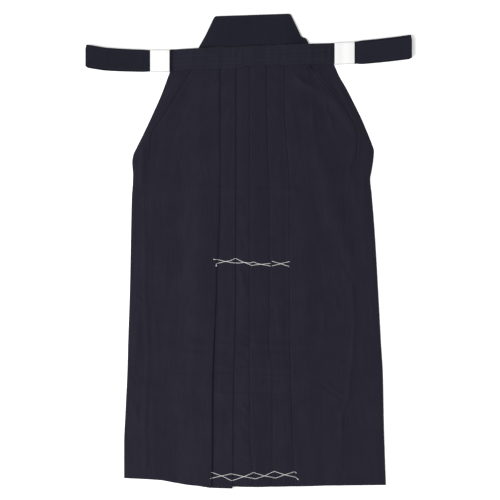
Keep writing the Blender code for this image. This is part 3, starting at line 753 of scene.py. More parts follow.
def runPoints(side, name, first, last, down, c, layers):
    inset = garment["foldInset"]
    start, finish = c[side + first], c[side + last]
    way = 1 if (finish - start).mean() > 0 else -1
    start = start if first == "Edge" else start + way * inset
    finish = finish - way * (seamInset if last == "Seam" else inset)
    step = garment["columnStep" if name in seenRuns else "hiddenStep"]
    count = max(3, int(math.ceil(np.abs(finish - start).max() / step)) + 1)
    x = spread(start, finish, count)
    if side + name in dips:
        edge, depth = dips[side + name]
        x = aroundEdge(start, finish, c[edge], count)
    z = heightOf(layers[side + name], x)
    if side + name in dips:
        z -= depth * bell(x - c[edge][:, None] - dipMiddle, dipWidth)
    if side + name in swells:
        edge, distance, width, height = swells[side + name]
        z += height * bell(x - c[edge][:, None] - distance, width) * easeBetween(down, *swellStarts)[:, None]
    return np.stack([x, z], -1)


def openedPoints(side, c, layers, stripCount, fieldCount):
    # Below the side opening nothing is turned in: the cloth steps down from the field to the strip
    strip, field = layers[side + "LeafStrip"], layers[side + "Field"]
    begin, end = c[side + "Step"], c[side + "StepIn"]
    outer = spread(c[side + "Edge"], begin, stripCount)
    share = np.arange(1, 10) / 10
    inner = spread(end, c[side + "Fold1"] + sideSign[side] * garment["foldInset"], fieldCount)
    low, high = heightOf(strip, begin[:, None]), heightOf(field, end[:, None])
    x = [outer, begin[:, None] + (end - begin)[:, None] * share, inner]
    z = [heightOf(strip, outer), low + (high - low) * easeBetween(share, 0, 1), heightOf(field, inner)]
    return np.stack([np.concatenate(x, 1), np.concatenate(z, 1)], -1)


def legPoints(side, down, c, layers):
    # Path of a front leg's cloth, row by row: x and z, and how far each point droops at the hem
    runs = [runPoints(side, *way[:3], down, c, layers) for way in legWay]
    droops = []
    for run, (_, _, _, canDroop) in zip(runs, legWay):
        droops += droops[-1:] * len(foldAngles)
        droops += [float(side == "right" and canDroop)] * run.shape[1]
    path = joinRuns(runs)
    opened = openedPoints(side, c, layers, runs[0].shape[1], runs[2].shape[1])
    share = c["open"][:, None, None]
    changed = opened.shape[1]
    path[:, :changed] = path[:, :changed] * (1 - share) + opened * share
    return path, np.array(droops)


sharpAngles = {"cloth": 48, "board": 50}     # degrees


def linkPiece(name, mesh, finish):
    mesh.materials.clear()
    mesh.materials.append(materials[finish])
    return addObject(name, mesh)


def makePlain(piece):
    # The piece as its modifiers show it, as a plain smooth mesh
    shown = bpy.context.evaluated_depsgraph_get()
    mesh = bpy.data.meshes.new_from_object(piece.evaluated_get(shown))
    piece.modifiers.clear()
    piece.data = mesh
    mesh.shade_smooth()
    return mesh


def clothPiece(name, points, finish, wall=garment["wall"], closed=False):
    # Wall of cloth through rows of points in mm, with its own flat cloth as UV map in metres
    points = np.array(points, float)
    points[..., 2] = np.maximum(points[..., 2], wall / 2)       # never under the floor
    order = np.arange(points[..., 0].size).reshape(points.shape[:2])
    grid = points
    if closed:
        order, grid = wrapped(order), wrapped(points)
    mesh = bpy.data.meshes.new(name)
    mesh.from_pydata((points.reshape(-1, 3) * mm).tolist(), [], cellCorners(order).reshape(-1, 4).tolist())
    steps = np.linalg.norm(np.diff(grid, axis=1), axis=2)
    across = np.concatenate([np.zeros((len(grid), 1)), np.cumsum(steps, 1)], 1)
    lengths = np.linalg.norm(np.diff(grid[:, 0], axis=0), axis=1)
    lengthways = np.concatenate([[0], np.cumsum(lengths)])[:, None] + np.zeros_like(across)
    flat = np.stack([across, lengthways], -1) * mm
    mesh.uv_layers.new(name="cloth").data.foreach_set("uv", cellCorners(flat).ravel())
    piece = linkPiece(name, mesh, finish)
    thick = piece.modifiers.new("wall", "SOLIDIFY")
    thick.thickness = wall * mm
    thick.offset = 0
    thick.use_even_offset = True
    thick.use_quality_normals = True
    makePlain(piece).set_sharp_from_angle(angle=math.radians(sharpAngles["cloth"]))
    return piece


def declare(piece, node=None):
    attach(piece, "root")
    if node:
        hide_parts(node)


def declareCloth(piece, node):
    declare(piece, node)


down = frontRowPlaces()
columns = columnsAt(down)
layers = stackCloth(down, columns)
print("the layers are stacked")

# How the back panels and the gusset lie, in mm; the gusset also lists its flat cut, size in m, and area in m2
backPanel = {
    "rows": (-17.7, *np.arange(-10, 925, 9.0), 926, 928, 932, 938),
    "heights": (0.5, 1.8, 3.1),
    "counts": (40, 14, 14),
}
gusset = {
    "top": 400.0, "middle": 550.0, "end": 700.0, "half": 45.0,
    "seam": 4.0, "height": 3.1, "rows": 40, "columns": 13, "cut": (0.09, 0.3), "area": 0.0137,
}


def makeFrontLeg(side):
    path, droops = legPoints(side, down, columns, layers)
    x = path[..., 0]
    y = panelY(x, down[:, None], droops)
    points = np.stack([x, y, path[..., 1] + frontRise(x, y, down[:, None])], -1)
    piece = clothPiece("frontLeg" + side.title(), points, "navyCloth")
    declareCloth(piece, "front_leg_" + side)


def gussetHalf(down):
    return np.interp(down, (gusset["top"], gusset["middle"], gusset["end"]), (0, gusset["half"], 0))


def makeBackLeg(side):
    out, inset = sideSign[side], garment["foldInset"]
    down = np.array(backPanel["rows"])
    c = columnsAt(down)
    half = gussetHalf(down)
    centre = c[side + "Seam"] + out * seamInset
    deep = c[side + "Deep1"]
    last = centre + out * (half + np.where(half > 0, garment["gap"], 0))
    ends = ((c[side + "Back"], centre + out * inset), (centre + out * inset, deep - out * inset),
            (deep - out * inset, last))
    runs = []
    for (first, end), height, count in zip(ends, backPanel["heights"], backPanel["counts"]):
        x = spread(first, end, count)
        runs.append(np.stack([x, np.full_like(x, height)], -1))
    path = joinRuns(runs)
    x = path[..., 0]
    y = panelY(x, down[:, None])
    points = np.stack([x, y, path[..., 1] + backRise(x, y)], -1)
    piece = clothPiece("backLeg" + side.title(), points, "navyCloth")
    declareCloth(piece, "back_leg_" + side)


def makeGusset():
    g = gusset
    down = np.linspace(g["top"] + g["seam"], g["end"] - g["seam"], g["rows"])
    seam, half = columnsAt(down)["leftSeam"], gussetHalf(down)
    x = spread(seam - half, seam + half, g["columns"])
    y = panelY(x, down[:, None])
    piece = clothPiece("gussetPanel", np.stack([x, y, g["height"] + backRise(x, y)], -1), "navyCloth")
    declareCloth(piece, "gusset")


def makeBackTie(side):
    rows = np.where(down <= garment["backTieEnd"])[0][::2]
    ends = [columns[side + end][rows] for end in ("TieOut", "TieIn")]
    x = spread(*(ends if side == "right" else ends[::-1]), 9)
    y = panelY(x, down[rows, None])
    z = heightOf(layers[side + "BackTie"][rows], x) + backRise(x, y)
    piece = clothPiece("backTie" + side.title(), np.stack([x, y, z], -1), "tieCloth")
    declareCloth(piece, "back_tie_" + side)


waistband = {
    "fold": 2.5,
    "turn": 0.7,
    "turnAngles": (30, 60, 90, 120, 150),
    "innerPlaces": (0, -6, -12, -18, -28, -36, -43),
    "columns": 186,
    "rows": (2.5, 7.6, 17.3, 26.8, 36.6, 43.6),         # stitching, from the upper edge
    "quiltEnds": (0, 47.5),
    "quilt": 0.85,
    "quiltWave": (0.25, 0.09),
    "lift": 0.5,
    "waves": ((0.10, 0.13, 0.2), (0.08, 0.31, -0.4)),   # height, and turns for each mm along and up
    "lean": 0.06,               # of those forms to the side, for each mm up
    "forms": (
        # x, width, height of soft forms that what lies beneath pushes up
        (-160, 8, 0.5), (-53, 5, 0.5), (-28, 3, -0.6), (-20, 3, 0.4), (-3, 4, 0.6), (83, 3.5, 0.8),
        (104, 6, 0.6), (124, 20, 1.4), (139, 4.6, 1.5), (155, 3, 0.8), (169.5, 3.6, 1.2), (183, 2.8, 0.9),
    ),
}


def bandRelief(x, up):
    # Quilting, waves and soft forms of the waistband's face
    w = waistband
    height = garment["bandHeight"]
    z = np.full_like(x, w["lift"])
    stops = [w["quiltEnds"][0], *w["rows"], w["quiltEnds"][1]]
    below = height - up
    wave, turns = w["quiltWave"]
    for a, b in zip(stops[:-1], stops[1:]):
        if a <= below < b:
            z += w["quilt"] * math.sin(math.pi * (below - a) / (b - a)) * (1 + wave * np.sin(x * turns + up))
    for size, lengthways, upwards in w["waves"]:
        z += size * np.sin(x * lengthways + up * upwards)
    for middle, width, size in w["forms"]:
        z += size * bell(x - middle - w["lean"] * up, width) * math.sin(math.pi * up / height)
    return z


def bandRow(kind, place):
    inBand = np.where(down <= 0)[0]
    row = np.interp(place, down[inBand], inBand)
    low = int(row)
    high = min(low + 1, inBand[-1])
    x = np.linspace(columns["rightEdge"][0], columns["leftEdge"][0], waistband["columns"])
    below, above = [heightOf(layers[kind][i:i + 1], x[None])[0] for i in (low, high)]
    z = below * (1 - (row - low)) + above * (row - low)
    if kind == "bandOuter":
        z += bandRelief(x, -place)
    return np.stack([x, panelY(x, place), z], -1)


def makeWaistband():
    w = waistband
    last = -garment["panelTop"] - w["fold"]
    inner = [bandRow("bandInner", place) for place in (*w["innerPlaces"], last)]
    outer = [bandRow("bandOuter", place) for place in (last, *np.arange(-44, 0.1, 1.0))]
    fold = []
    for angle in w["turnAngles"]:
        turn = math.radians(angle)
        row = (inner[-1] + outer[0]) / 2
        row[:, 1] += w["turn"] * math.sin(turn)
        row[:, 2] -= (outer[0] - inner[-1])[:, 2] / 2 * math.cos(turn)
        fold.append(row)
    piece = clothPiece("waistband", np.stack(inner + fold + outer), "bandCloth")
    declareCloth(piece, "front_waistband")


for side in sideSign:
    makeBackLeg(side)
    makeBackTie(side)
    makeFrontLeg(side)
makeGusset()
makeWaistband()
print("panels and waistband are ready")


# Folded front ties: far and near folds, from the waistband's end, and their sideways shift, in mm
frontTies = {
    "right": {
        "start": -178.5,
        "folds": ((192.3, -3.1), (26, 0.1), (190.6, 2.4), (22, -0.1), (191.4, -1.8), (20, 0.2), (189.9, 3.1),
                  (17, -0.1), (191.0, 0.4), (12, 0.1)),
        "line": ((-371.0, 442.6), (-347.0, 438.4), (-325.0, 435.1), (-280.0, 432.5), (-222.0, 431.0),
                 (-178.5, 430.8)),
        "cut": (0.0464, 1.74), "cloth": "tieCloth", "spread": 0.6,
        "paperEnd": 44.7, "paperShift": 0.0, "paperWave": 0.2,
    },
    "left": {
        "start": 193.3,
        "folds": ((177.2, -4.0), (26, 0.1), (175.6, 3.6), (22, -0.1), (176.5, -1.9), (20, 0.2), (174.8, 4.1),
                  (17, 0.1), (176.2, -1.2), (12, 0.0)),
        "line": ((193.3, 448.4), (249.0, 450.1), (276.0, 452.2), (333.0, 458.3), (371.0, 463.4)),
        # its cloth is the tie cloth painted paler: painted light
        "cut": (0.0464, 1.59), "cloth": "leftTiePaintedLighterCloth", "spread": 0.85,
        "paperEnd": 46.1, "paperShift": -0.8, "paperWave": 1.2,
    },
}
tieShape = {
    "width": 46.4,
    "wall": 0.8,
    "pitch": 1.15,
    "endPitch": 1.45,
    "endAt": 192.3,
    "seamRise": (1.3, 12),      # of the first run at the waistband's end, and how far it reaches
    "insideSpread": 0.3,
    "step": 5.0,
    "across": 7,
    "hemPlaces": (0, 0.6, 2.0, 3.4),
    "flatFrom": 4.2,
    "cornerRadius": 3.2,
    "cornerInset": 2.0,
    "cornerRound": 0.98,
    "pinch": 0.12,
    "waves": ((0.08, 0.09, 0.12), (0.06, 0.031, 0.3)),      # height, and turns for each mm along and across
    "edgeFold": (0.35, 2.0, 1.2),                           # height, place from the edge, width
}
paperShape = {
    "far": 47.5,
    "near": 1.2,
    "tight": 20.0,              # from the far end inwards, where the runs begin to spread
    "ramp": 14.0,               # from the paper's far end to where the tie lies on the floor
    "wall": 0.5,
    "gap": 0.3,
    "over": 1.3,                # from the last run of the tie to the paper on it
    "room": 2.0,
    "fold": 2.2,
    "nearDrop": (0.5, 10.5),
    "wave": (2.0, 34.0),        # where it is highest, and its length
    "ripple": (0.12, 0.3, 0.5),     # height, and turns for each mm along and across
    "rows": 22,
    "topPlaces": (0.75, 0.5, 0.25, 0, -0.25, -0.5, -0.75),
}


def tieHeight(distance, run):
    t, p = tieShape, paperShape
    pitch = t["pitch"] + (t["endPitch"] - t["pitch"]) * np.interp(distance, (p["far"], t["endAt"]), (0, 1))
    height = np.interp(distance, (p["far"], p["far"] + p["ramp"]), (p["wall"] + p["gap"], 0)) + run * pitch
    if run == 0:
        rise, reach = t["seamRise"]
        height = np.maximum(height, np.interp(distance, (0, reach), (rise, 0)))
    return height + t["wall"] / 2


def tieSpread(facts, distance, reach):
    # Share of a run's sideways shift: little inside the paper, and more beyond it
    far = paperShape["far"]
    shares = (0, tieShape["insideSpread"], facts["spread"], 1)
    places = (far - paperShape["tight"], far, far + paperShape["ramp"], reach)
    return np.interp(distance, places, shares)


def tiePath(facts):
    # Distance from the waistband's end, height and sideways shift, through all folds of a front tie
    inset = garment["foldInset"]
    lastRun = len(facts["folds"]) - 1
    parts = []
    start, startShift = garment["gap"], 0.0
    for run, (end, endShift) in enumerate(facts["folds"]):
        way = 1 if end > start else -1
        first = start + (way * inset if run else 0)
        last = end - (way * inset if run < lastRun else 0)
        near, far = (startShift, endShift) if way > 0 else (endShift, startShift)
        if run:
            before, after = parts[-1][-1:, :2], np.array([[first, tieHeight(first, run)]])
            fold = foldPoints(before, after, -way)[0]
            parts.append(np.column_stack([fold, np.full(len(fold), startShift)]))
        distance = np.linspace(first, last, int(abs(last - first) / tieShape["step"]) + 2)
        shift = near + (far - near) * tieSpread(facts, distance, max(first, last))
        parts.append(np.column_stack([distance, tieHeight(distance, run), shift]))
        start, startShift = end, endShift
    return np.concatenate(parts)


def makeFrontTie(side):
    facts, t = frontTies[side], tieShape
    distance, height, shift = tiePath(facts).T
    x = facts["start"] + sideSign[side] * distance
    half = t["width"] / 2
    edge = np.array(t["hemPlaces"]) - half
    inner = half - t["flatFrom"]
    radius = t["cornerRadius"]
    cornerStart = facts["folds"][0][0] - radius - t["cornerInset"]
    nearEnd = np.clip((distance - cornerStart) / radius, 0, 1)
    drawIn = radius * (1 - np.sqrt(1 - t["cornerRound"] * nearEnd ** 2))
    rows = []
    for offset in np.concatenate([edge, np.linspace(-inner, inner, t["across"]), -edge[::-1]]):
        z = height + t["pinch"] * (1 - (offset / half) ** 2)
        for size, lengthways, across in t["waves"]:
            z += size * np.sin(distance * lengthways + offset * across)
        size, place, width = t["edgeFold"]
        z += size * bell(half - abs(offset) - place, width)
        rows.append(np.stack([x, along(facts["line"], x) + shift + offset * (1 - drawIn / half), z], -1))
    piece = clothPiece("frontTie" + side.title(), np.stack(rows), facts["cloth"], t["wall"])
    declareCloth(piece, "front_tie_" + side)


def makePaperBand(side):
    facts, p = frontTies[side], paperShape
    wall, radius = p["wall"], p["fold"]
    half = tieShape["width"] / 2 + p["room"] + wall / 2 - radius
    distance = np.linspace(p["near"], facts["paperEnd"], p["rows"])[:, None]
    drop, reach = p["nearDrop"]
    peak, length = p["wave"]
    top = 1.5 * wall + p["gap"] + (len(facts["folds"]) - 1) * tieShape["pitch"] + p["over"]
    top = top - drop * (1 - easeBetween(distance, 0, reach))
    top = top + facts["paperWave"] * (1 + np.cos((distance - peak) / length * 2 * math.pi)) / 2
    high, low = top - radius, wall / 2 + radius
    y, z = [], []
    for quarter, (across, base) in enumerate(((half, high), (-half, high), (-half, low), (half, low))):
        turn = (quarter + np.linspace(0, 1, 5)) * math.pi / 2
        y.append(across + radius * np.cos(turn))
        z.append(base + radius * np.sin(turn) + 0 * distance)
        if quarter == 0:
            y.append(half * np.array(p["topPlaces"]))
            z.append(top + 0 * y[-1])
    y, z = np.concatenate(y), np.concatenate(z, 1)
    size, lengthways, across = p["ripple"]
    z += np.where(z > top - 0.01, size * np.sin(y * across + distance * lengthways), 0)
    x = facts["start"] + sideSign[side] * distance
    middle = along(facts["line"], x) + facts["paperShift"]
    points = np.stack(np.broadcast_arrays(x, middle + y, z), -1)
    piece = clothPiece("paperBand" + side.title(), points, "whitePaper", wall, closed=True)
    declare(piece, "paper_band_" + side)


for side in sideSign:
    makeFrontTie(side)
    makePaperBand(side)
print("front ties and paper bands are ready")


board = {
    "top": ((-77.6, 532.7), (94.6, 538.4), (120.2, 484.6), (129.8, 483.4), (136.6, 470.0), (138.0, 450.0)),
    "lower": (120, 82, 42, 9, -30, -66, -116),      # x along the edge behind the waistband
    "right": ((-126.0, 440.0), (-115.5, 458.5), (-98.0, 489.7), (-87.0, 512.6)),
    "profile": (
        # inward, height
        (1.5, 0.0), (0.4, 0.4), (0.0, 1.4), (0.0, 3.6), (0.4, 4.6), (1.5, 5.0), (3.6, 5.05), (5.0, 4.85),
        (6.4, 5.05), (9.0, 5.05),
    ),
    "step": 3.0,
    "rings": (0.04, 0.97, 40),      # first and last share of the way to the spine, and how many
    "spine": (-62, 96),
    "spineY": 486.0,
    "swell": (0.12, 0.045, 0.02),                   # height, and turns for each mm along and up
    "padding": 4.6,
    "paddingRight": (-118, -70),
    "paddingLeft": (90, 126),
    "paddingUp": (0.6, 2.2),
    "paddingDown": (6, 64),
}


def boardCorners():
    lower = [(x, float(panelY(np.array(float(x)), -garment["boardEdge"]))) for x in board["lower"]]
    return np.array([*board["top"], *lower, *board["right"]])


def boardRing(inward):
    # The board's outline moved inwards by the same distance on every side, in even steps
    corners = boardCorners()
    sides = np.roll(corners, -1, 0) - corners
    lengths = np.linalg.norm(sides, axis=1)
    sides /= lengths[:, None]
    normals = np.stack([sides[:, 1], -sides[:, 0]], -1)
    before = np.roll(normals, 1, 0)
    moved = corners + inward * (before + normals) / (1 + (before * normals).sum(1))[:, None]
    points = []
    for start, end, length in zip(moved, np.roll(moved, -1, 0), lengths):
        count = max(1, int(length / board["step"]))
        points += [start + (end - start) * k / count for k in range(count)]
    points = np.array(points)
    for turn in range(2):
        points = (np.roll(points, 1, 0) + 2 * points + np.roll(points, -1, 0)) / 4
    return points


largestCap = 8          # corners of an end that may stay one face


def closedMesh(name, tubes):
    # Tubes of rings of points in mm, each closed at both ends, with all faces outwards
    vertices, faces = [], []
    for rings in tubes:
        rings = np.array(rings)
        order = len(vertices) + np.arange(rings[..., 0].size).reshape(rings.shape[:2])
        vertices += (rings.reshape(-1, 3) * mm).tolist()
        faces += cellCorners(wrapped(order)).reshape(-1, 4).tolist()
        faces += [order[0].tolist(), order[-1, ::-1].tolist()]
    mesh = bpy.data.meshes.new(name)
    mesh.from_pydata(vertices, [], faces)
    shape = bmesh.new()
    shape.from_mesh(mesh)
    bmesh.ops.triangulate(shape, faces=[face for face in shape.faces if len(face.verts) > largestCap])
    bmesh.ops.recalc_face_normals(shape, faces=shape.faces)
    shape.to_mesh(mesh)
    shape.free()
    mesh.shade_smooth()
    return mesh


def makeBoard():
    b = board
    rings = []
    for inward, height in b["profile"]:
        ring = boardRing(inward)
        rings.append(np.column_stack([ring, np.full(len(ring), height)]))
    edge = rings[-1]
    spine = np.column_stack([np.clip(edge[:, 0], *b["spine"]),
                             np.full((len(edge), 2), (b["spineY"], garment["boardThick"]))])
    size, lengthways, upwards = b["swell"]
    for share in np.linspace(*b["rings"]):
        ring = edge + (spine - edge) * share
        ring[:, 2] += size * np.sin(ring[:, 0] * lengthways + ring[:, 1] * upwards) * min(1, share * 4)
        rings.append(ring)
    for ring in rings:
        # Padded most just above the waistband, and not at the sides
        x, above = ring[:, 0], ring[:, 1] - along(bandRows, ring[:, 0], 1)
        sideways = easeBetween(x, *b["paddingRight"]) * (1 - easeBetween(x, *b["paddingLeft"]))
        upwards = easeBetween(above, *b["paddingUp"]) * (1 - easeBetween(above, *b["paddingDown"]))
        ring[:, 2] *= 1 + b["padding"] * sideways * upwards / garment["boardThick"]
    mesh = closedMesh("backBoard", [rings])
    corners = np.zeros(len(mesh.loops), int)
    mesh.loops.foreach_get("vertex_index", corners)
    flat = np.concatenate(rings)[corners, :2] * mm
    mesh.uv_layers.new(name="cloth").data.foreach_set("uv", flat.ravel())
    mesh.set_sharp_from_angle(angle=math.radians(sharpAngles["board"]))
    declare(linkPiece("backBoard", mesh, "boardCloth"), "back_board")


makeBoard()
print("back board is ready")


# Where the top of the garment is, for what is sewn on it
def makeTopFinder():
    vertices, faces = [], []
    for name in ("frontLegRight", "frontLegLeft", "backLegRight", "backLegLeft", "waistband", "backBoard",
                 "frontTieRight", "frontTieLeft"):
        mesh = bpy.data.objects[name].data
        offset = len(vertices)
        vertices += [v.co.copy() for v in mesh.vertices]
        faces += [[offset + i for i in polygon.vertices] for polygon in mesh.polygons]
    return BVHTree.FromPolygons(vertices, faces)


topFinder = makeTopFinder()


def topAt(x, y):
    hit = topFinder.ray_cast(Vector((x * mm, y * mm, 0.1)), Vector((0, 0, -1)))
    return hit[0].z / mm if hit[0] else 0.0


# Machine stitching: sizes in mm
sewing = {
    "band": {"pitch": 4.2, "length": 3.3, "radius": 0.34, "seed": 4, "span": (-175.5, 190.5), "drop": 0.5},
    "board": {"pitch": 4.0, "length": 3.1, "radius": 0.32, "seed": 8, "inset": 5.0, "above": 2.0},
    "hem": {"pitch": 5.5, "length": 3.8, "radius": 0.32, "seed": 12, "up": 12.0},
    "tie": {"pitch": 4.2, "length": 3.2, "radius": 0.32, "seed": 15, "inset": 3.0, "ends": (4, 3)},
    "step": 4.0,                # between the places where a line is laid on the cloth
    "sink": 0.15,
    "wander": 0.04,
    # What the node group starts from, in m
    "defaults": {"Pitch": 0.004, "Stitch length": 0.0031, "Thread radius": 0.00035, "Wander": 0.05},
}
hemSpans = (
    # from and distance, to and distance, droops
    ("rightEdge", 3, "rightFold1", -3, 1), ("rightFold1", 4, "rightFold2", -3, 1),
    ("rightFold2", 4, "leftFold3", -4, 0), ("leftFold3", 3, "leftFold2", -4, 0),
    ("leftFold2", 3, "leftFold1", -4, 0), ("leftFold1", 3, "leftEdge", -3, 0),
)


def makeStitchTree():
    # Stitches along the edges of a mesh
    tree = bpy.data.node_groups.new("stitchRow", "GeometryNodeTree")
    addSocket(tree, "Line", "Geometry")
    for name in ("Pitch", "Stitch length", "Thread radius", "Wander"):
        addSocket(tree, name, "Float", sewing["defaults"][name])
    addSocket(tree, "Seed", "Int", 3)
    addSocket(tree, "Thread", "Material")
    addSocket(tree, "Stitches", "Geometry", way="OUTPUT")
    start = addNode(tree, "NodeGroupInput", {})
    curve = addNode(tree, "GeometryNodeMeshToCurve", {0: start["Line"]})
    spaced = {"Curve": curve[0], "Length": start["Pitch"]}
    even = addNode(tree, "GeometryNodeResampleCurve", spaced, mode="LENGTH")
    ball = addNode(tree, "GeometryNodeMeshUVSphere", {"Segments": 6, "Rings": 4, "Radius": 0.5})
    thick = mathNode(tree, "MULTIPLY", start["Thread radius"], 2.0)
    size = addNode(tree, "ShaderNodeCombineXYZ", {0: start["Stitch length"], 1: thick, 2: thick})
    stitch = addNode(tree, "GeometryNodeTransform", {"Geometry": ball["Mesh"], "Scale": size[0]})
    least = mathNode(tree, "MULTIPLY", start["Wander"], -1.0)
    limits = {"Max": start["Wander"], "Min": least, "Seed": start["Seed"]}
    stray = addNode(tree, "FunctionNodeRandomValue", limits, data_type="FLOAT_VECTOR")
    tangent = addNode(tree, "GeometryNodeInputTangent", {})
    toward = addNode(tree, "ShaderNodeVectorMath", {0: tangent[0], 1: stray[0]}, operation="ADD")
    turned = addNode(tree, "FunctionNodeAlignRotationToVector", {"Vector": toward[0]}, axis="X")
    places = {"Points": even[0], "Instance": stitch[0], "Rotation": turned[0]}
    put = addNode(tree, "GeometryNodeInstanceOnPoints", places)
    real = addNode(tree, "GeometryNodeRealizeInstances", {0: put[0]})
    dressed = addNode(tree, "GeometryNodeSetMaterial", {"Geometry": real[0], "Material": start["Thread"]})
    addNode(tree, "NodeGroupOutput", {0: dressed[0]})
    return tree


stitchTree = makeStitchTree()


def stitchLines(name, lines, plan):
    # Lines are pairs of x and y in mm, and the stitches lie on whatever is on top there
    vertices, edges = [], []
    lift = plan["radius"] - sewing["sink"]
    for line in lines:
        first = len(vertices)
        vertices += [(x * mm, y * mm, (topAt(x, y) + lift) * mm) for x, y in zip(*line)]
        edges += [(i, i + 1) for i in range(first, len(vertices) - 1)]
    mesh = bpy.data.meshes.new(name)
    mesh.from_pydata(vertices, edges, [])
    row = addObject(name, mesh)
    modifier = row.modifiers.new("stitches", "NODES")
    modifier.node_group = stitchTree
    values = {
        "Pitch": plan["pitch"] * mm, "Stitch length": plan["length"] * mm, "Seed": plan["seed"],
        "Thread radius": plan["radius"] * mm, "Wander": sewing["wander"], "Thread": materials["navyThread"],
    }
    for item in stitchTree.interface.items_tree:
        if item.name in values:
            modifier[item.identifier] = values[item.name]
    plain = makePlain(row)
    plain.materials.clear()
    plain.materials.append(materials["navyThread"])
    plain.polygons.foreach_set("material_index", [0] * len(plain.polygons))
    declare(row)


def sewWaistband():
    plan = sewing["band"]
    x = np.arange(*plan["span"], sewing["step"])
    lines = [(x, panelY(x, drop - garment["bandHeight"] - plan["drop"])) for drop in waistband["rows"]]
    stitchLines("waistbandStitching", lines, plan)


def sewBoard():
    plan = sewing["board"]
    ring = boardRing(plan["inset"])
    shown = list(ring[ring[:, 1] > along(bandRows, ring[:, 0], 1) + plan["above"]])
    start = max(range(len(shown)), key=lambda i: math.dist(shown[i], shown[i - 1]))
    stitchLines("boardStitching", [np.array(shown[start:] + shown[:start]).T], plan)


def sewHems():
    plan = sewing["hem"]
    lines = []
    for start, after, end, before, droop in hemSpans:
        first, last = columns[start][-1] + after, columns[end][-1] + before
        x = np.linspace(first, last, max(3, int((last - first) / sewing["step"])))
        lines.append((x, panelY(x, garment["legLength"] - plan["up"], droop)))
    stitchLines("hemStitching", lines, plan)


def sewTies():
    plan = sewing["tie"]
    lines = []
    for side, facts in frontTies.items():
        after, before = plan["ends"]
        reach, farShift = facts["folds"][-2]            # of the run that lies on top
        distance = np.arange(paperShape["far"] + after, reach - before, sewing["step"])
        x = facts["start"] + sideSign[side] * distance
        middle = along(facts["line"], x) + farShift * tieSpread(facts, distance, reach)
        order = np.argsort(x)
        for edge in (-1, 1):
            y = middle + edge * (tieShape["width"] / 2 - plan["inset"])
            lines.append((x[order], y[order]))
    stitchLines("tieStitching", lines, plan)


sewWaistband()
sewBoard()
sewHems()
sewTies()
print("machine stitching is ready")


# White cotton basting that holds the pleats: sizes in mm, the end that is knotted, and its points.
# A knot's two plies lie in one another.
basting = {
    "radius": 0.28,
    "ply": 0.25,
    "plyHeight": 0.7,
    "twist": 2.2,
    "around": 8,
    "dip": 0.7,
    "dipWidth": 1.3,
    "above": 0.6,
    "endDrop": 0.05,
    "knot": {"size": 0.6, "wide": 0.75, "high": 0.8, "above": 0.9, "points": 60, "ply": 0.0001},
    "runs": {
        "MiddleA": ("start", (
            (-79.2, -19.0), (-71.1, -19.3), (-53.8, -23.6), (-37.3, -26.5), (-22.3, -27.4), (-11.2, -25.8),
            (2.4, -27.2), (10.8, -24.7), (18.2, -27.7), (31.2, -30.6), (49.5, -34.2))),
        "MiddleB": ("start", (
            (-73.3, -33.8), (-73.8, -28.6), (-63.4, -26.3), (-53.8, -23.8), (-43.0, -22.4), (-30.5, -16.3),
            (-22.3, -20.4), (-11.2, -25.4), (-0.3, -29.5), (6.7, -32.9), (16.4, -31.1), (31.2, -29.9),
            (50.0, -27.9))),
        "MiddleC": ("none", ((52.7, -23.1), (72.0, -28.8), (91.7, -34.9))),
        "MiddleD": ("none", ((52.7, -33.8), (72.0, -29.0), (93.1, -23.6))),
        "HemA": ("end", (
            (-84.4, -501.7), (-61.3, -509.6), (-38.4, -520.7), (-10.5, -511.2), (11.0, -501.7),
            (35.7, -509.6), (61.1, -514.4), (81.7, -507.1), (103.9, -500.1), (107.1, -502.4))),
        "HemB": ("end", (
            (-87.6, -515.7), (-61.3, -509.6), (-40.0, -504.9), (-10.5, -511.2), (15.1, -516.0),
            (35.7, -509.6), (57.9, -499.2), (81.7, -507.1), (107.1, -512.8), (112.1, -517.5))),
    },
}


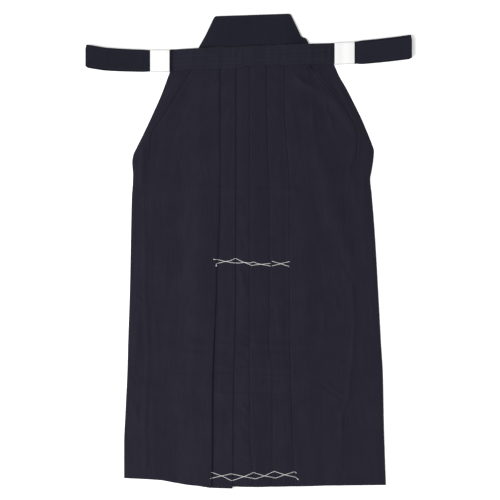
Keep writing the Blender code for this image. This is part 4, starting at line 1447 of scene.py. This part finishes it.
def makeThread(name, path, ply):
    # Two plies twisted together along a path
    b = basting
    forward = np.gradient(path, axis=0)
    forward /= np.linalg.norm(forward, axis=1)[:, None]
    side = np.cross(forward, (0, 0, 1.0))
    side /= np.maximum(np.linalg.norm(side, axis=1), 1e-6)[:, None]
    up = np.cross(side, forward)
    travelled = np.concatenate([[0], np.cumsum(np.linalg.norm(np.diff(path, axis=0), axis=1))])
    angles = np.linspace(0, 2 * math.pi, b["around"], endpoint=False)[:, None]
    ring = b["radius"] * (side[:, None] * np.cos(angles) + up[:, None] * np.sin(angles))
    tubes = []
    for strand in (0, math.pi):
        twist = (travelled * b["twist"] + strand)[:, None]
        centre = path + ply * (side * np.cos(twist) + up * b["plyHeight"] * np.sin(twist))
        tubes.append(centre[:, None] + ring)
    declare(linkPiece(name, closedMesh(name, tubes), "whiteCotton"))


def threadPath(points):
    # From stitch hole to stitch hole, lying on the cloth between them
    b = basting
    path = []
    for number, ((x0, y0), (x1, y1)) in enumerate(zip(points[:-1], points[1:])):
        count = max(4, int(math.hypot(x1 - x0, y1 - y0)))
        for k in range(count):
            t = k / count
            free = (number == 0 and t < 0.5) or (number == len(points) - 2 and t > 0.5)
            dip = 0 if free else b["dip"] * (bell(k, b["dipWidth"]) + bell(count - k, b["dipWidth"]))
            x, y = x0 + (x1 - x0) * t, y0 + (y1 - y0) * t
            path.append((x, y, topAt(x, y) + b["above"] - dip))
    path.append((*points[-1], topAt(*points[-1]) + b["above"] - b["endDrop"]))
    path = np.array(path)
    for turn in range(2):
        path[1:-1] = (path[:-2] + 2 * path[1:-1] + path[2:]) / 4
    return path


def knotPath(x, y):
    k = basting["knot"]
    t = np.linspace(0, 2 * math.pi, k["points"] + 1)
    wide, high = k["size"] * k["wide"], k["size"] * k["high"]
    return np.stack([x + wide * (np.sin(t) + 2 * np.sin(2 * t)), y + wide * (np.cos(t) - 2 * np.cos(2 * t)),
                     topAt(x, y) + k["above"] - high * np.sin(3 * t)], -1)


def makeBasting():
    for name, (knotted, points) in basting["runs"].items():
        makeThread("basting" + name, threadPath(points), basting["ply"])
        if knotted != "none":
            end = points[0] if knotted == "start" else points[-1]
            makeThread("knot" + name, knotPath(*end), basting["knot"]["ply"])


makeBasting()
print("basting is ready")
